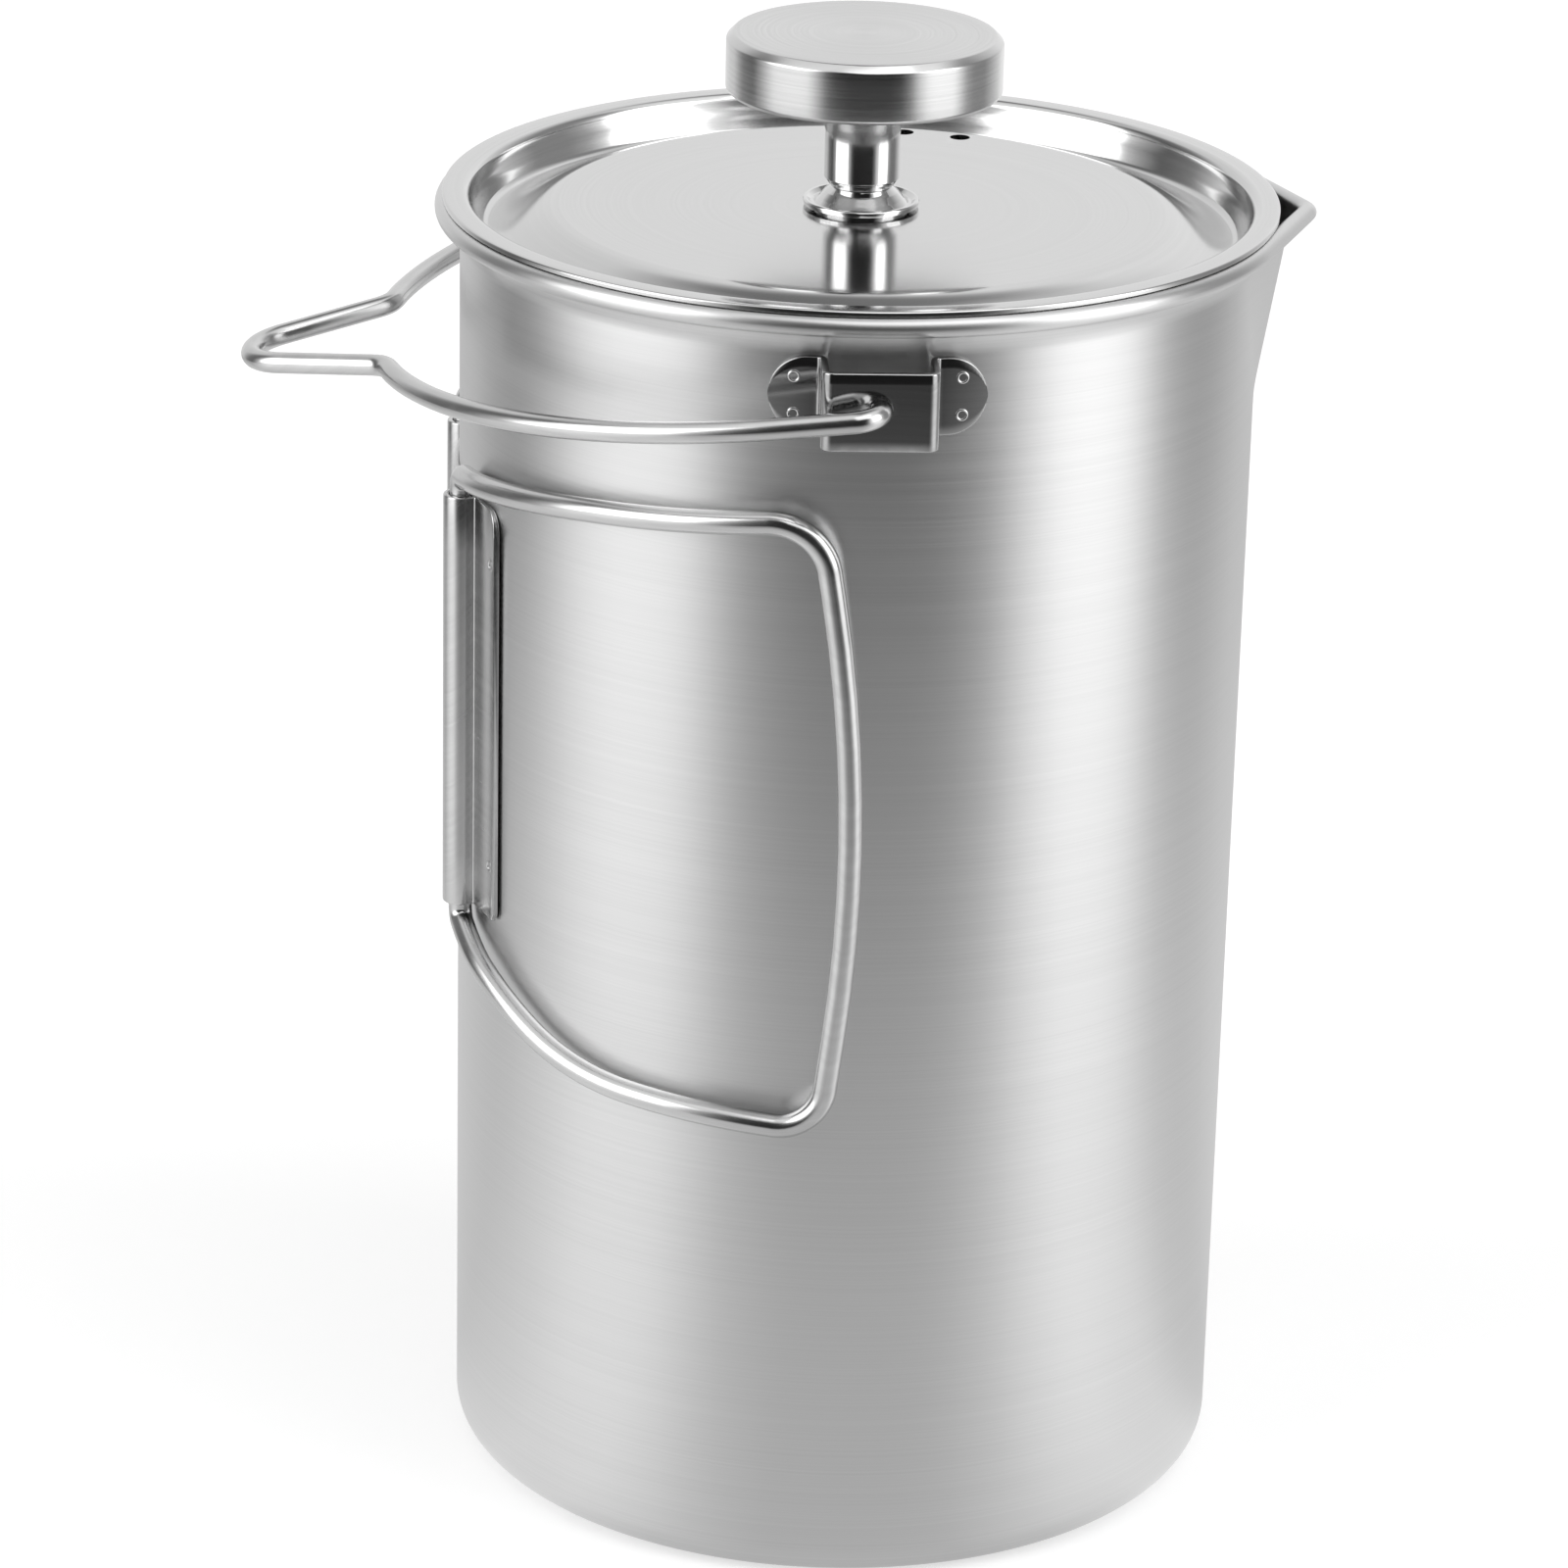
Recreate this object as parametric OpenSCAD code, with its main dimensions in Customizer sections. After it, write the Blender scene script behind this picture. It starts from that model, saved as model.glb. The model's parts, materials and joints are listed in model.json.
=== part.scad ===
// Camp coffee press pot: steel pot with a pouring lip, swing bail, folding
// side handles, dished lid and a plunger with a spring-edged filter.
// Origin at the centre of the base, +Z up, pouring lip towards +X.

/* [Pot] */
// Outside radius of the pot wall
pot_r = 50; // [48:0.5:52]
// Height of the top of the lid flange above the base
pot_h = 168; // [160:1:176]
// Thickness of the pot sheet
pot_t = 0.8; // [0.6:0.1:1]
// Radius where the wall turns into the base
base_fillet = 4; // [3:0.5:6]
// Radius of the rolled bead at the mouth
bead_r = 1.25; // [1:0.05:1.4]
// How far the bead's centre stands outside the wall
bead_out = 1.9; // [1.6:0.1:2.2]

/* [Pouring lip] */
// How far the lip's bead reaches beyond the round bead
lip_reach = 4; // [3:0.5:5]
// Radius of the lip's nose on the bead's centreline
lip_nose = 2.5; // [2:0.5:4]
// Height of the stretch of wall that flares into the lip
lip_drop = 25; // [18:1:32]

/* [Lid] */
// Outside radius of the lid flange
lid_r = 52.2; // [51.5:0.1:53]
// Thickness of the lid sheet
lid_t = 0.7; // [0.5:0.1:0.8]
// Depth of the groove at the foot of the lid's wall, below the flange
dish_depth = 5; // [4:0.5:6]
// Height of the raised floor above the groove
floor_rise = 3.2; // [2:0.1:3.4]
// Radius of the flat part of the raised floor
floor_r = 37.6; // [34:0.1:40]
// Radius of the groove's bottom
dish_r = 46.4; // [45:0.1:47]
// Radius of one steam vent
vent_r = 1.3; // [1:0.1:1.6]
// Distance of the vents from the axis
vent_ring = 36; // [32:1:40]

/* [Bail] */
// Radius of the bail wire
bail_wire_r = 1.35; // [1.2:0.05:1.5]
// Radius of the bail's arc
bail_r = 60.2; // [59.5:0.1:61.5]
// Height of the bail's pivots
bail_z = 157.6; // [156:0.2:159]
// Angle at which the bail rests below level
bail_droop = 8.5; // [4:0.5:12]
// Reach of the hanging notch from the pivots
notch_reach = 76.8; // [74:0.2:79]
// Half angle between the two sides of the notch
notch_angle = 27.5; // [24:0.5:30]

/* [Bail brackets] */
// Height of a bracket
bracket_h = 9.6; // [8:0.2:11]
// Length of a bracket from end to end
bracket_l = 25.8; // [24:0.2:28]
// Width of the box in the middle of a bracket
bracket_box_w = 13.9; // [12:0.1:15]
// Distance of the box's face from the pot axis
bracket_face = 56.9; // [56:0.1:57.5]
// Thickness of the bracket sheet
bracket_t = 0.9; // [0.7:0.1:1]

/* [Side handles] */
// Radius of the side handle wire
side_wire_r = 1.5; // [1.3:0.05:1.6]
// Angle of each hinge from the back of the pot
hinge_angle = 17; // [15:1:20]
// Height of the top arm at the hinge
side_top = 135.4; // [133:0.2:138]
// Height of the bottom arm at the hinge
side_bottom = 76.4; // [74:0.2:79]
// Reach of the grip round the pot from the hinge, along the wall
side_reach = 66.6; // [60:0.2:67]
// How far the grip's lower corner lies below the bottom arm's hinge
grip_drop = 13.2; // [10:0.1:18]
// How far the grip's upper corner lies above the top arm's hinge
grip_rise = 6.6; // [4:0.2:8]

/* [Knob] */
// Radius of the knob
knob_r = 17.2; // [15:0.1:20]
// Thickness of the knob
knob_t = 7.4; // [6:0.1:9]
// Radius of the polished neck
neck_r = 4.7; // [4.2:0.1:5.5]
// Length of the neck with its chamfer
neck_l = 11.95; // [10:0.05:14]

/* [Plunger] */
// Radius of the plunger rod
rod_r = 2; // [1.8:0.1:2.5]
// Clearance of the rod in its guide, on the radius
rod_clear = 0.1; // [0.05:0.01:0.1]
// Outside radius of the filter screen
screen_r = 48.9; // [48.5:0.1:48.9]
// Radius of the spring's coil
coil_r = 1.7; // [1.4:0.1:1.8]

/* [Hidden] */
$fn = 96;
eps = 0.01;
// Swept wires are drawn a hair thinner than the round pins that they run into
wire_inset = 0.985;
steel = [0.78, 0.79, 0.8];
bright_steel = [0.86, 0.87, 0.88];
dark_steel = [0.45, 0.46, 0.47];

// Rim of the pot
flange_z = pot_h - lid_t;
bead_z = flange_z - 0.05 - bead_r;
bead_ring = pot_r + bead_out;
flare_z = bead_z - 2.8;
pot_in = pot_r - pot_t;

// Pouring lip and the height at which the mouth joins the plain wall
lip_foot_z = bead_z - lip_drop;
mouth_z = lip_foot_z - 1;

// Lid
dish_z = pot_h - dish_depth;
pad_z = dish_z + floor_rise;
vent_step = 12;
vent_first = 66.5;

// Rod guide, washer and nut
guide_shank_r = 4;
guide_foot_r = 7.3;
guide_top = pad_z + 2.7;
guide_lip = 0.5;
washer_t = 0.7;
nut_flats = 11;
nut_h = 2.8;
guide_tail = 1.2;

// Knob, neck and rod
neck_z = guide_top + 0.05;
neck_chamfer = 1.05;
neck_waist_r = 3.9;
knob_z = neck_z + neck_l;
knob_top = knob_z + knob_t;
knob_bevel = 0.9;
rod_in_knob = 5;

// Filter pack, from the bottom
hub_z = 1.6;
hub_h = 2;
hub_flats = 9;
cross_z = hub_z + hub_h;
cross_t = 1;
cross_r = 43;
screen_z = cross_z + cross_t;
screen_t = 0.4;
plate_z = screen_z + screen_t;
plate_t = 0.8;
plate_r = 44.6;
pack_h = 7.6;
coil_ring = screen_r - screen_t - coil_r - 0.15;
coil_z = plate_z + coil_r + 1.6;
collar_r = 4;
collar_h = 5;

// Bail path
bail_centre = 0.8;
bail_first = 79;
bail_last = 17;
bail_steps = 11;
bail_corner_y = 61.2;
bail_corner_bend = 3;
notch_y = 13.2;
notch_bend = 4;
notch_u = bail_centre + sqrt(bail_r * bail_r - notch_y * notch_y);
notch_apex = notch_u + notch_y / tan(notch_angle);
notch_nose = (notch_apex - notch_reach) / (1 / sin(notch_angle) - 1);
bail_pin_in = 54.2;
bail_pin_l = 3.4;
bail_clear = 0.1;

// Hinges of the side handles
side_r = pot_r + 2.3;
hinge_r = pot_r + 1.7;
hinge_clear = 0.06;
channel_r = 2.25;
plate_half = 27.2;
plate_corner_top = 3;
plate_corner_low = 1;
hinge_plate_t = 0.9;
hinge_top = side_top - 2.4;
hinge_bottom = side_bottom + 2.2;

// Side handle path, unrolled on the wall as [distance from the hinge, height, bend radius]
wrist_bend = 2;
knee_reach = 28;
knee_drop = 11.2;
knee_bend = 55;
arch_reach = 30;
arch_rise = 3.8;
grip_middle = 31.4;
grip_lean_low = 5;
grip_lean_top = 6.3;
grip_bend = 200;
side_outline = [
    [0, hinge_bottom + 2, 0],
    [0, side_bottom, wrist_bend],
    [knee_reach, side_bottom - knee_drop, knee_bend],
    [side_reach - grip_lean_low, side_bottom - grip_drop, 6],
    [side_reach, side_top - grip_middle, grip_bend],
    [side_reach - grip_lean_top, side_top + grip_rise, 7],
    [arch_reach, side_top + arch_rise, grip_bend],
    [0, side_top, wrist_bend],
    [0, hinge_top - 2, 0]
];

// Holes in the filter's two plates, ring by ring, as [count, distance from the axis, radius]
spring_holes = [[8, 13, 2.5], [14, 23, 2.5], [20, 33, 2.5]];
cross_holes = [[6, 15, 4], [10, 32, 7]];

// Points on an arc, from angle a to angle b
function arc(x, y, r, a, b, n) = [
    for (i = [0:n])
        let (t = a + (b - a) * i / n)
            [x + r * cos(t), y + r * sin(t)]
];

function reversed(v) = [for (i = [len(v) - 1:-1:0]) v[i]];

// Corner c of a path, turned into a bend of radius r between its neighbours p and q
function bend(p, c, q, r, n) =
    let (
        a = (p - c) / norm(p - c),
        b = (q - c) / norm(q - c),
        half = acos(a * b) / 2,
        mid = c + (a + b) / norm(a + b) * r / sin(half),
        s = c + a * r / tan(half) - mid,
        e = c + b * r / tan(half) - mid,
        turn = 180 - 2 * half
    )
    [for (i = [0:n]) let (t = i / n) mid + (s * sin((1 - t) * turn) + e * sin(t * turn)) / sin(turn)];

function flat(p) = [p[0], p[1]];

// A plan of [x, y, bend radius] corners, as a list of points
function bent(plan, n) = [
    for (i = [0:len(plan) - 1])
        let (r = plan[i][2])
            each (r == 0
                ? [flat(plan[i])]
                : bend(flat(plan[i - 1]), flat(plan[i]), flat(plan[i + 1]), r, n))
];

// The same path with points added, so that no stretch is longer than step
function spaced(path, step) = [
    for (i = [1:len(path) - 1])
        let (n = ceil(norm(path[i] - path[i - 1]) / step))
            each [for (k = [0:n - 1]) path[i - 1] + (path[i] - path[i - 1]) * k / n],
    path[len(path) - 1]
];

// Half of the bail in its own plane: pin, arm, arc and one side of the notch
bail_half = concat(
    [[0, bail_pin_in + 2.2, 0], [0, bail_corner_y, bail_corner_bend]],
    [for (p = arc(bail_centre, 0, bail_r, bail_first, bail_last, bail_steps)) [p[0], p[1], 0]],
    [[notch_u, notch_y, notch_bend]]
);
bail_plan = concat(
    bail_half,
    [[notch_apex, 0, notch_nose]],
    [for (i = [len(bail_half) - 1:-1:0]) [bail_half[i][0], -bail_half[i][1], bail_half[i][2]]]
);

// One ring of a swept wire: round p, square to the direction t, with one side towards out
function wire_ring(p, t, out, r, sides) =
    let (d = t / norm(t), m = out - (out * d) * d, n = m / norm(m), b = cross(d, n))
    [for (k = [0:sides - 1]) let (a = 360 * k / sides) p + r * (cos(a) * n + sin(a) * b)];

// Round wire swept along a path, with outs giving a direction across the wire at each point
module wire(path, outs, r, sides) {
    last = len(path) - 1;
    rings = [for (i = [0:last])
        wire_ring(path[i], path[min(i + 1, last)] - path[max(i - 1, 0)], outs[i], r, sides)];
    points = [for (ring = rings) each ring];
    skin = [for (i = [0:last - 1], k = [0:sides - 1])
        let (a = i * sides + k, b = i * sides + (k + 1) % sides)
            each [[a, a + sides, b], [b, a + sides, b + sides]]];
    start = [for (k = [0:sides - 1]) k];
    end = [for (k = [sides - 1:-1:0]) last * sides + k];
    polyhedron(points, concat(skin, [start, end]), convexity = 8);
}

// How far the mouth stands beyond its round ring at angle a, where the lip reaches out by reach:
// two tangents of the ring that meet in a round nose
function lip_bump(a, reach) =
    let (
        nose_x = bead_ring + reach - lip_nose,
        side = acos((bead_ring - lip_nose) / nose_x),
        nose = atan(lip_nose * sin(side) / (nose_x + lip_nose * cos(side)))
    )
    (abs(a) >= side ? 0
        : abs(a) > nose ? bead_ring / cos(side - abs(a)) - bead_ring
        : nose_x * cos(a) + sqrt(pow(lip_nose, 2) - pow(nose_x * sin(a), 2)) - bead_ring);

function lip_share(z) = max(0, min(1, (z - lip_foot_z) / lip_drop));

// Section of the mouth from the wall's outside, over the bead and down its inside
mouth_levels = [mouth_z + 0.4, lip_foot_z + 9, lip_foot_z + 17, flare_z];
mouth_section = concat(
    [[pot_r - 0.1, mouth_z - 1], [pot_r - 0.1, mouth_z]],
    [for (z = mouth_levels) [pot_r, z]],
    arc(bead_ring, bead_z, bead_r, -120, 190, 7),
    [for (z = reversed(mouth_levels)) [pot_in, z]],
    [[pot_in + 0.15, mouth_z], [pot_in + 0.15, mouth_z - 1]]
);

// Mouth of the pot: the flared wall, the rolled bead and the pouring lip, swept round the axis
module pot_mouth() {
    lip_half = 24;
    lip_steps = 18;
    ring_steps = 46;
    turns = concat(
        [for (i = [0:lip_steps - 1]) lip_half * (2 * i / lip_steps - 1)],
        [for (i = [0:ring_steps - 1]) lip_half + (360 - 2 * lip_half) * i / ring_steps]
    );
    n = len(turns);
    k = len(mouth_section);
    points = [for (t = turns, p = mouth_section)
        let (
            a = t > 180 ? t - 360 : t,
            r = p[0] + lip_bump(a, max(eps, lip_reach * lip_share(p[1])))
        )
            [r * cos(a), r * sin(a), p[1]]];
    skin = [for (i = [0:n - 1], j = [0:k - 1])
        let (next = (i + 1) % n, up = (j + 1) % k, a = i * k + j, b = i * k + up)
            each [[a, b, next * k + j], [next * k + j, b, next * k + up]]];
    polyhedron(points, skin, convexity = 8);
}

module pot_wall_outline(r, z, fillet) {
    polygon(concat(
        [[0, z]],
        arc(r - fillet, z + fillet, fillet, -90, 0, 8),
        [[r, mouth_z], [0, mouth_z]]
    ));
}

module pot_body() {
    color(steel) {
        difference() {
            rotate_extrude() pot_wall_outline(pot_r, 0, base_fillet);
            rotate_extrude() pot_wall_outline(pot_in, pot_t, base_fillet - pot_t);
            translate([0, 0, mouth_z - 1]) cylinder(r = pot_in, h = 2);
        }
        pot_mouth();
    }
}

// Box of a bracket as a solid, from the pot's inside to its face
module bracket_box(half, face, r) {
    translate([0, 0, bail_z - 0.5 - bracket_h / 2]) {
        linear_extrude(bracket_h) {
            polygon(concat(
                [[half, -40]],
                arc(half - r, -face + r, r, 0, -90, 4),
                arc(-half + r, -face + r, r, -90, -180, 4),
                [[-half, -40]]
            ));
        }
    }
}

// Bracket on the front or rear of the pot, whose box holds one end of the bail
module bail_bracket(side) {
    half_box = bracket_box_w / 2;
    flat_l = bracket_l - bracket_h;
    weld_angle = 11.3;
    weld_z = 2.3;
    weld_r = 0.7;
    weld_depth = 0.3;
    centre_z = bail_z - 0.5;
    rotate([0, 0, side > 0 ? 180 : 0]) {
        difference() {
            union() {
                intersection() {
                    cylinder(r = pot_r + bracket_t, h = pot_h);
                    translate([0, 0, centre_z]) {
                        rotate([90, 0, 0]) {
                            translate([-flat_l / 2, -bracket_h / 2, 40])
                                cube([flat_l, bracket_h, 20]);
                            for (x = [-1, 1]) {
                                translate([x * flat_l / 2, 0, 40]) cylinder(r = bracket_h / 2, h = 20);
                            }
                        }
                    }
                }
                bracket_box(half_box, bracket_face, 1.4);
            }
            cylinder(r = pot_r, h = 2 * pot_h);
            translate([0, 0, -1]) bracket_box(half_box - bracket_t, bracket_face - bracket_t, 0.5);
            translate([0, 0, 1]) bracket_box(half_box - bracket_t, bracket_face - bracket_t, 0.5);
            translate([0, -bracket_face + 2, bail_z])
                rotate([90, 0, 0])
                    cylinder(r = bail_wire_r + bail_clear, h = 4);
            for (x = [-1, 1], z = [-1, 1]) {
                rotate([0, 0, x * weld_angle])
                    translate([0, -pot_r - bracket_t + weld_depth, centre_z + z * weld_z])
                        rotate([90, 0, 0])
                            cylinder(r = weld_r, h = 2);
            }
        }
    }
}

module bail_bracket_front() {
    color(dark_steel) bail_bracket(-1);
}

module bail_bracket_rear() {
    color(dark_steel) bail_bracket(1);
}

function hinge_xy(side) = [-hinge_r * cos(hinge_angle), side * hinge_r * sin(hinge_angle)];

// Plate on the back of the pot with one upright channel for each side handle
module handle_hinge_plate() {
    plate_h = hinge_top - hinge_bottom;
    half_w = (pot_r + hinge_plate_t) * sin(plate_half);
    top = plate_corner_top;
    low = plate_corner_low;
    color(steel) {
        difference() {
            union() {
                intersection() {
                    translate([0, 0, hinge_bottom]) {
                        linear_extrude(plate_h) {
                            difference() {
                                circle(pot_r + hinge_plate_t);
                                circle(pot_r);
                            }
                        }
                    }
                    translate([-60, 0, hinge_bottom]) {
                        rotate([90, 0, 90]) {
                            linear_extrude(30) {
                                polygon([
                                    [-half_w, low], [-half_w + low, 0],
                                    [half_w - low, 0], [half_w, low],
                                    [half_w, plate_h - top], [half_w - top, plate_h],
                                    [-half_w + top, plate_h], [-half_w, plate_h - top]
                                ]);
                            }
                        }
                    }
                }
                for (side = [-1, 1]) {
                    translate([hinge_xy(side)[0], hinge_xy(side)[1], hinge_bottom])
                        cylinder(r = channel_r, h = plate_h);
                }
            }
            cylinder(r = pot_r, h = pot_h);
            for (side = [-1, 1]) {
                translate([hinge_xy(side)[0], hinge_xy(side)[1], 0])
                    cylinder(r = side_wire_r + hinge_clear, h = pot_h);
            }
        }
    }
}

module bail_handle() {
    plan = bent(bail_plan, 5);
    color(bright_steel) {
        translate([0, 0, bail_z]) {
            rotate([0, -bail_droop, 0]) {
                path = [for (p = plan) [-p[0], p[1], 0]];
                wire(path, [for (p = path) [0, 0, 1]], bail_wire_r * wire_inset, 8);
                for (side = [-1, 1]) {
                    translate([0, side * bail_pin_in, 0])
                        rotate([-side * 90, 0, 0])
                            cylinder(r = bail_wire_r, h = bail_pin_l);
                }
            }
        }
    }
}

// Wire handle hinged at one side of the back and folded round that side of the pot
module side_handle(side) {
    plan = spaced(bent(side_outline, 5), 6);
    lead = 8;
    turns = [for (p = plan) 180 - hinge_angle - p[0] / side_r * 180 / PI];
    radii = [for (p = plan) side_r - (side_r - hinge_r) * max(0, 1 - p[0] / lead)];
    path = [for (i = [0:len(plan) - 1])
        [radii[i] * cos(turns[i]), radii[i] * sin(turns[i]), plan[i][1]]];
    outs = [for (a = turns) [cos(a), sin(a), 0]];
    mirror([0, side < 0 ? 1 : 0, 0]) {
        wire(path, outs, side_wire_r * wire_inset, 8);
        translate([hinge_xy(1)[0], hinge_xy(1)[1], hinge_bottom - 0.5])
            cylinder(r = side_wire_r, h = hinge_top - hinge_bottom + 1);
    }
}

module side_handle_front() {
    color(bright_steel) side_handle(-1);
}

module side_handle_rear() {
    color(bright_steel) side_handle(1);
}

// One face of the lid sheet from the centre out to the groove, dropped by d
function lid_face(d) = concat(
    [[0, pad_z - d], [floor_r * 0.5, pad_z - d]],
    [for (i = [0:9])
        let (t = i / 9, r = floor_r + (dish_r - floor_r) * t)
            [r, pad_z - d - floor_rise * t * t * (3 - 2 * t)]],
    arc(dish_r, dish_z + 1.2 - d, 1.2, -80, -25, 3)
);

module lid_shell() {
    wall_low = dish_r + 1.3;
    wall_top = 49;
    color(steel) {
        difference() {
            rotate_extrude() {
                polygon(concat(
                    lid_face(0),
                    [[wall_low, dish_z + 1.6], [wall_top - 0.3, pot_h - 1.3]],
                    arc(wall_top + 0.9, pot_h - 1.2, 1.2, 170, 90, 4),
                    [[lid_r - 0.3, pot_h], [lid_r, pot_h - 0.3], [lid_r, flange_z]],
                    [[wall_top + 1.1, flange_z], [wall_top + 0.6, flange_z - 0.5]],
                    [[wall_low + 0.8, dish_z + 1.2]],
                    reversed(lid_face(lid_t))
                ));
            }
            cylinder(r = guide_shank_r, h = 2 * pot_h);
            for (i = [0:2]) {
                rotate([0, 0, vent_first + i * vent_step])
                    translate([vent_ring, 0, 0])
                        cylinder(r = vent_r, h = 2 * pot_h);
            }
        }
    }
}

// Cone-shaped foot on the lid that guides the rod
module rod_guide() {
    color(bright_steel) {
        difference() {
            rotate_extrude() {
                polygon([
                    [0, pad_z - lid_t - washer_t - nut_h - guide_tail],
                    [guide_shank_r, pad_z - lid_t - washer_t - nut_h - guide_tail],
                    [guide_shank_r, pad_z],
                    [guide_foot_r - 0.3, pad_z], [guide_foot_r, pad_z + 0.6 + guide_lip],
                    [guide_foot_r - 0.5, pad_z + 0.6 + guide_lip],
                    [guide_foot_r - 1, pad_z + 0.6], [5.7, pad_z + 0.6],
                    [5.3, pad_z + 1.2], [4.6, pad_z + 2], [3.9, guide_top], [0, guide_top]
                ]);
            }
            cylinder(r = rod_r + rod_clear, h = 2 * pot_h);
        }
    }
}

module guide_washer() {
    color(steel) {
        translate([0, 0, pad_z - lid_t - washer_t]) {
            difference() {
                cylinder(r = 7.5, h = washer_t);
                translate([0, 0, -1]) cylinder(r = guide_shank_r, h = 3);
            }
        }
    }
}

module guide_nut() {
    color(steel) {
        translate([0, 0, pad_z - lid_t - washer_t - nut_h]) {
            difference() {
                cylinder(r = nut_flats / sqrt(3), h = nut_h, $fn = 6);
                translate([0, 0, -1]) cylinder(r = guide_shank_r, h = nut_h + 2);
            }
        }
    }
}

module knob() {
    color(steel) {
        difference() {
            rotate_extrude() {
                polygon([
                    [0, knob_z], [knob_r - 0.5, knob_z], [knob_r, knob_z + 0.5],
                    [knob_r, knob_top - knob_bevel], [knob_r - 0.25, knob_top - 0.35],
                    [knob_r - knob_bevel, knob_top], [0, knob_top]
                ]);
            }
            translate([0, 0, knob_z - 1]) cylinder(r = rod_r, h = 1 + rod_in_knob);
        }
    }
}

module knob_neck() {
    color(bright_steel) {
        difference() {
            rotate_extrude() {
                polygon([
                    [0, neck_z], [neck_waist_r, neck_z], [neck_r, neck_z + neck_chamfer],
                    [neck_r, knob_z], [0, knob_z]
                ]);
            }
            cylinder(r = rod_r, h = 2 * pot_h);
        }
    }
}

module plunger_rod() {
    color(bright_steel) {
        translate([0, 0, hub_z]) cylinder(r = rod_r, h = knob_z + rod_in_knob - hub_z);
    }
}

// Ferrule fixed to the rod, which bears on the top of the spring plate
module rod_collar() {
    color(steel) {
        translate([0, 0, plate_z + plate_t]) {
            difference() {
                cylinder(r = collar_r, h = collar_h);
                translate([0, 0, -1]) cylinder(r = rod_r, h = collar_h + 2);
            }
        }
    }
}

// Ring of holes through a plate
module hole_ring(count, ring, r, z) {
    for (i = [0:count - 1]) {
        rotate([0, 0, 360 * i / count])
            translate([ring, 0, z - 1])
                cylinder(r = r, h = 4);
    }
}

module spring_plate() {
    rim_z = plate_z + pack_h;
    color(steel) {
        difference() {
            rotate_extrude() {
                polygon([
                    [0, plate_z], [plate_r - 3, plate_z], [plate_r, plate_z + 3],
                    [plate_r, rim_z], [plate_r - plate_t, rim_z],
                    [plate_r - plate_t, plate_z + 3.3],
                    [plate_r - 3.3, plate_z + plate_t], [0, plate_z + plate_t]
                ]);
            }
            cylinder(r = rod_r, h = 30);
            for (ring = spring_holes) {
                hole_ring(ring[0], ring[1], ring[2], plate_z);
            }
        }
    }
}

// Spring that presses the screen's edge against the pot
module edge_spring() {
    color(bright_steel) {
        translate([0, 0, coil_z]) {
            rotate_extrude() {
                translate([coil_ring, 0]) circle(coil_r);
            }
        }
    }
}

module filter_screen() {
    curl = 3;
    color(bright_steel) {
        difference() {
            rotate_extrude() {
                polygon(concat(
                    [[0, screen_z]],
                    arc(screen_r - curl, screen_z + curl, curl, -90, 0, 5),
                    [[screen_r, plate_z + pack_h], [screen_r - screen_t, plate_z + pack_h]],
                    arc(screen_r - curl, screen_z + curl, curl - screen_t, 0, -90, 5),
                    [[0, screen_z + screen_t]]
                ));
            }
            cylinder(r = rod_r, h = 30);
        }
    }
}

module cross_plate() {
    color(steel) {
        difference() {
            translate([0, 0, cross_z]) cylinder(r = cross_r, h = cross_t);
            cylinder(r = rod_r, h = 30);
            for (ring = cross_holes) {
                hole_ring(ring[0], ring[1], ring[2], cross_z);
            }
        }
    }
}

module cross_hub() {
    color(steel) {
        translate([0, 0, hub_z]) {
            difference() {
                cylinder(r = hub_flats / sqrt(3), h = hub_h, $fn = 6);
                translate([0, 0, -1]) cylinder(r = rod_r, h = hub_h + 2);
            }
        }
    }
}

pot_body();
bail_bracket_front();
bail_bracket_rear();
handle_hinge_plate();
bail_handle();
side_handle_front();
side_handle_rear();
lid_shell();
rod_guide();
guide_washer();
guide_nut();
knob();
knob_neck();
plunger_rod();
rod_collar();
spring_plate();
edge_spring();
filter_screen();
cross_plate();
cross_hub();
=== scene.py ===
import json
from math import acos, atan, ceil, cos, pi, radians, sin, sqrt, tan

import bmesh
import bpy
from mathutils import Matrix, Vector


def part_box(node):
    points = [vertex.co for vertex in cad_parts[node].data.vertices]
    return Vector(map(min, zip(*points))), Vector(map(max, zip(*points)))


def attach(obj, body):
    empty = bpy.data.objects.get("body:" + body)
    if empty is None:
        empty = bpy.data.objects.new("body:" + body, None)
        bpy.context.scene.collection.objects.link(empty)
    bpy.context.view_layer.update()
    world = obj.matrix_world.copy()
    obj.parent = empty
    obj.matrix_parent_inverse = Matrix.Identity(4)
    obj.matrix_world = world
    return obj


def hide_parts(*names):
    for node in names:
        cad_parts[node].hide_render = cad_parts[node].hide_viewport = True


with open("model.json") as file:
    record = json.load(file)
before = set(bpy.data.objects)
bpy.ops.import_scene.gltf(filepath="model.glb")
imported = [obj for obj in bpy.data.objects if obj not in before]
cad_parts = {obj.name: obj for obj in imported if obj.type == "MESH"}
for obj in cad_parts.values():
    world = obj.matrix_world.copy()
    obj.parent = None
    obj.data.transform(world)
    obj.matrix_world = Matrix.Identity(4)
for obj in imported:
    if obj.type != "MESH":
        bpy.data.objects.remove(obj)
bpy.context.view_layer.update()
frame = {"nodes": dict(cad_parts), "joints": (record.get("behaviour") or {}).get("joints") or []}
mm = 0.001  # the piece dictionaries are in mm and degrees
crease = 38  # edges that turn by more than this many degrees stay sharp
scene = bpy.context.scene
print("frame loaded:", len(frame["nodes"]), "nodes")


def span(node):
    low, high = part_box(node)
    return low / mm, high / mm


def pivot(body):  # where the joint that carries a body sits, in metres
    return next(j for j in frame["joints"] if j["child"] == body)["pos_m"]


def linked(name, data):
    item = bpy.data.objects.new(name, data)
    scene.collection.objects.link(item)
    return item


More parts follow.
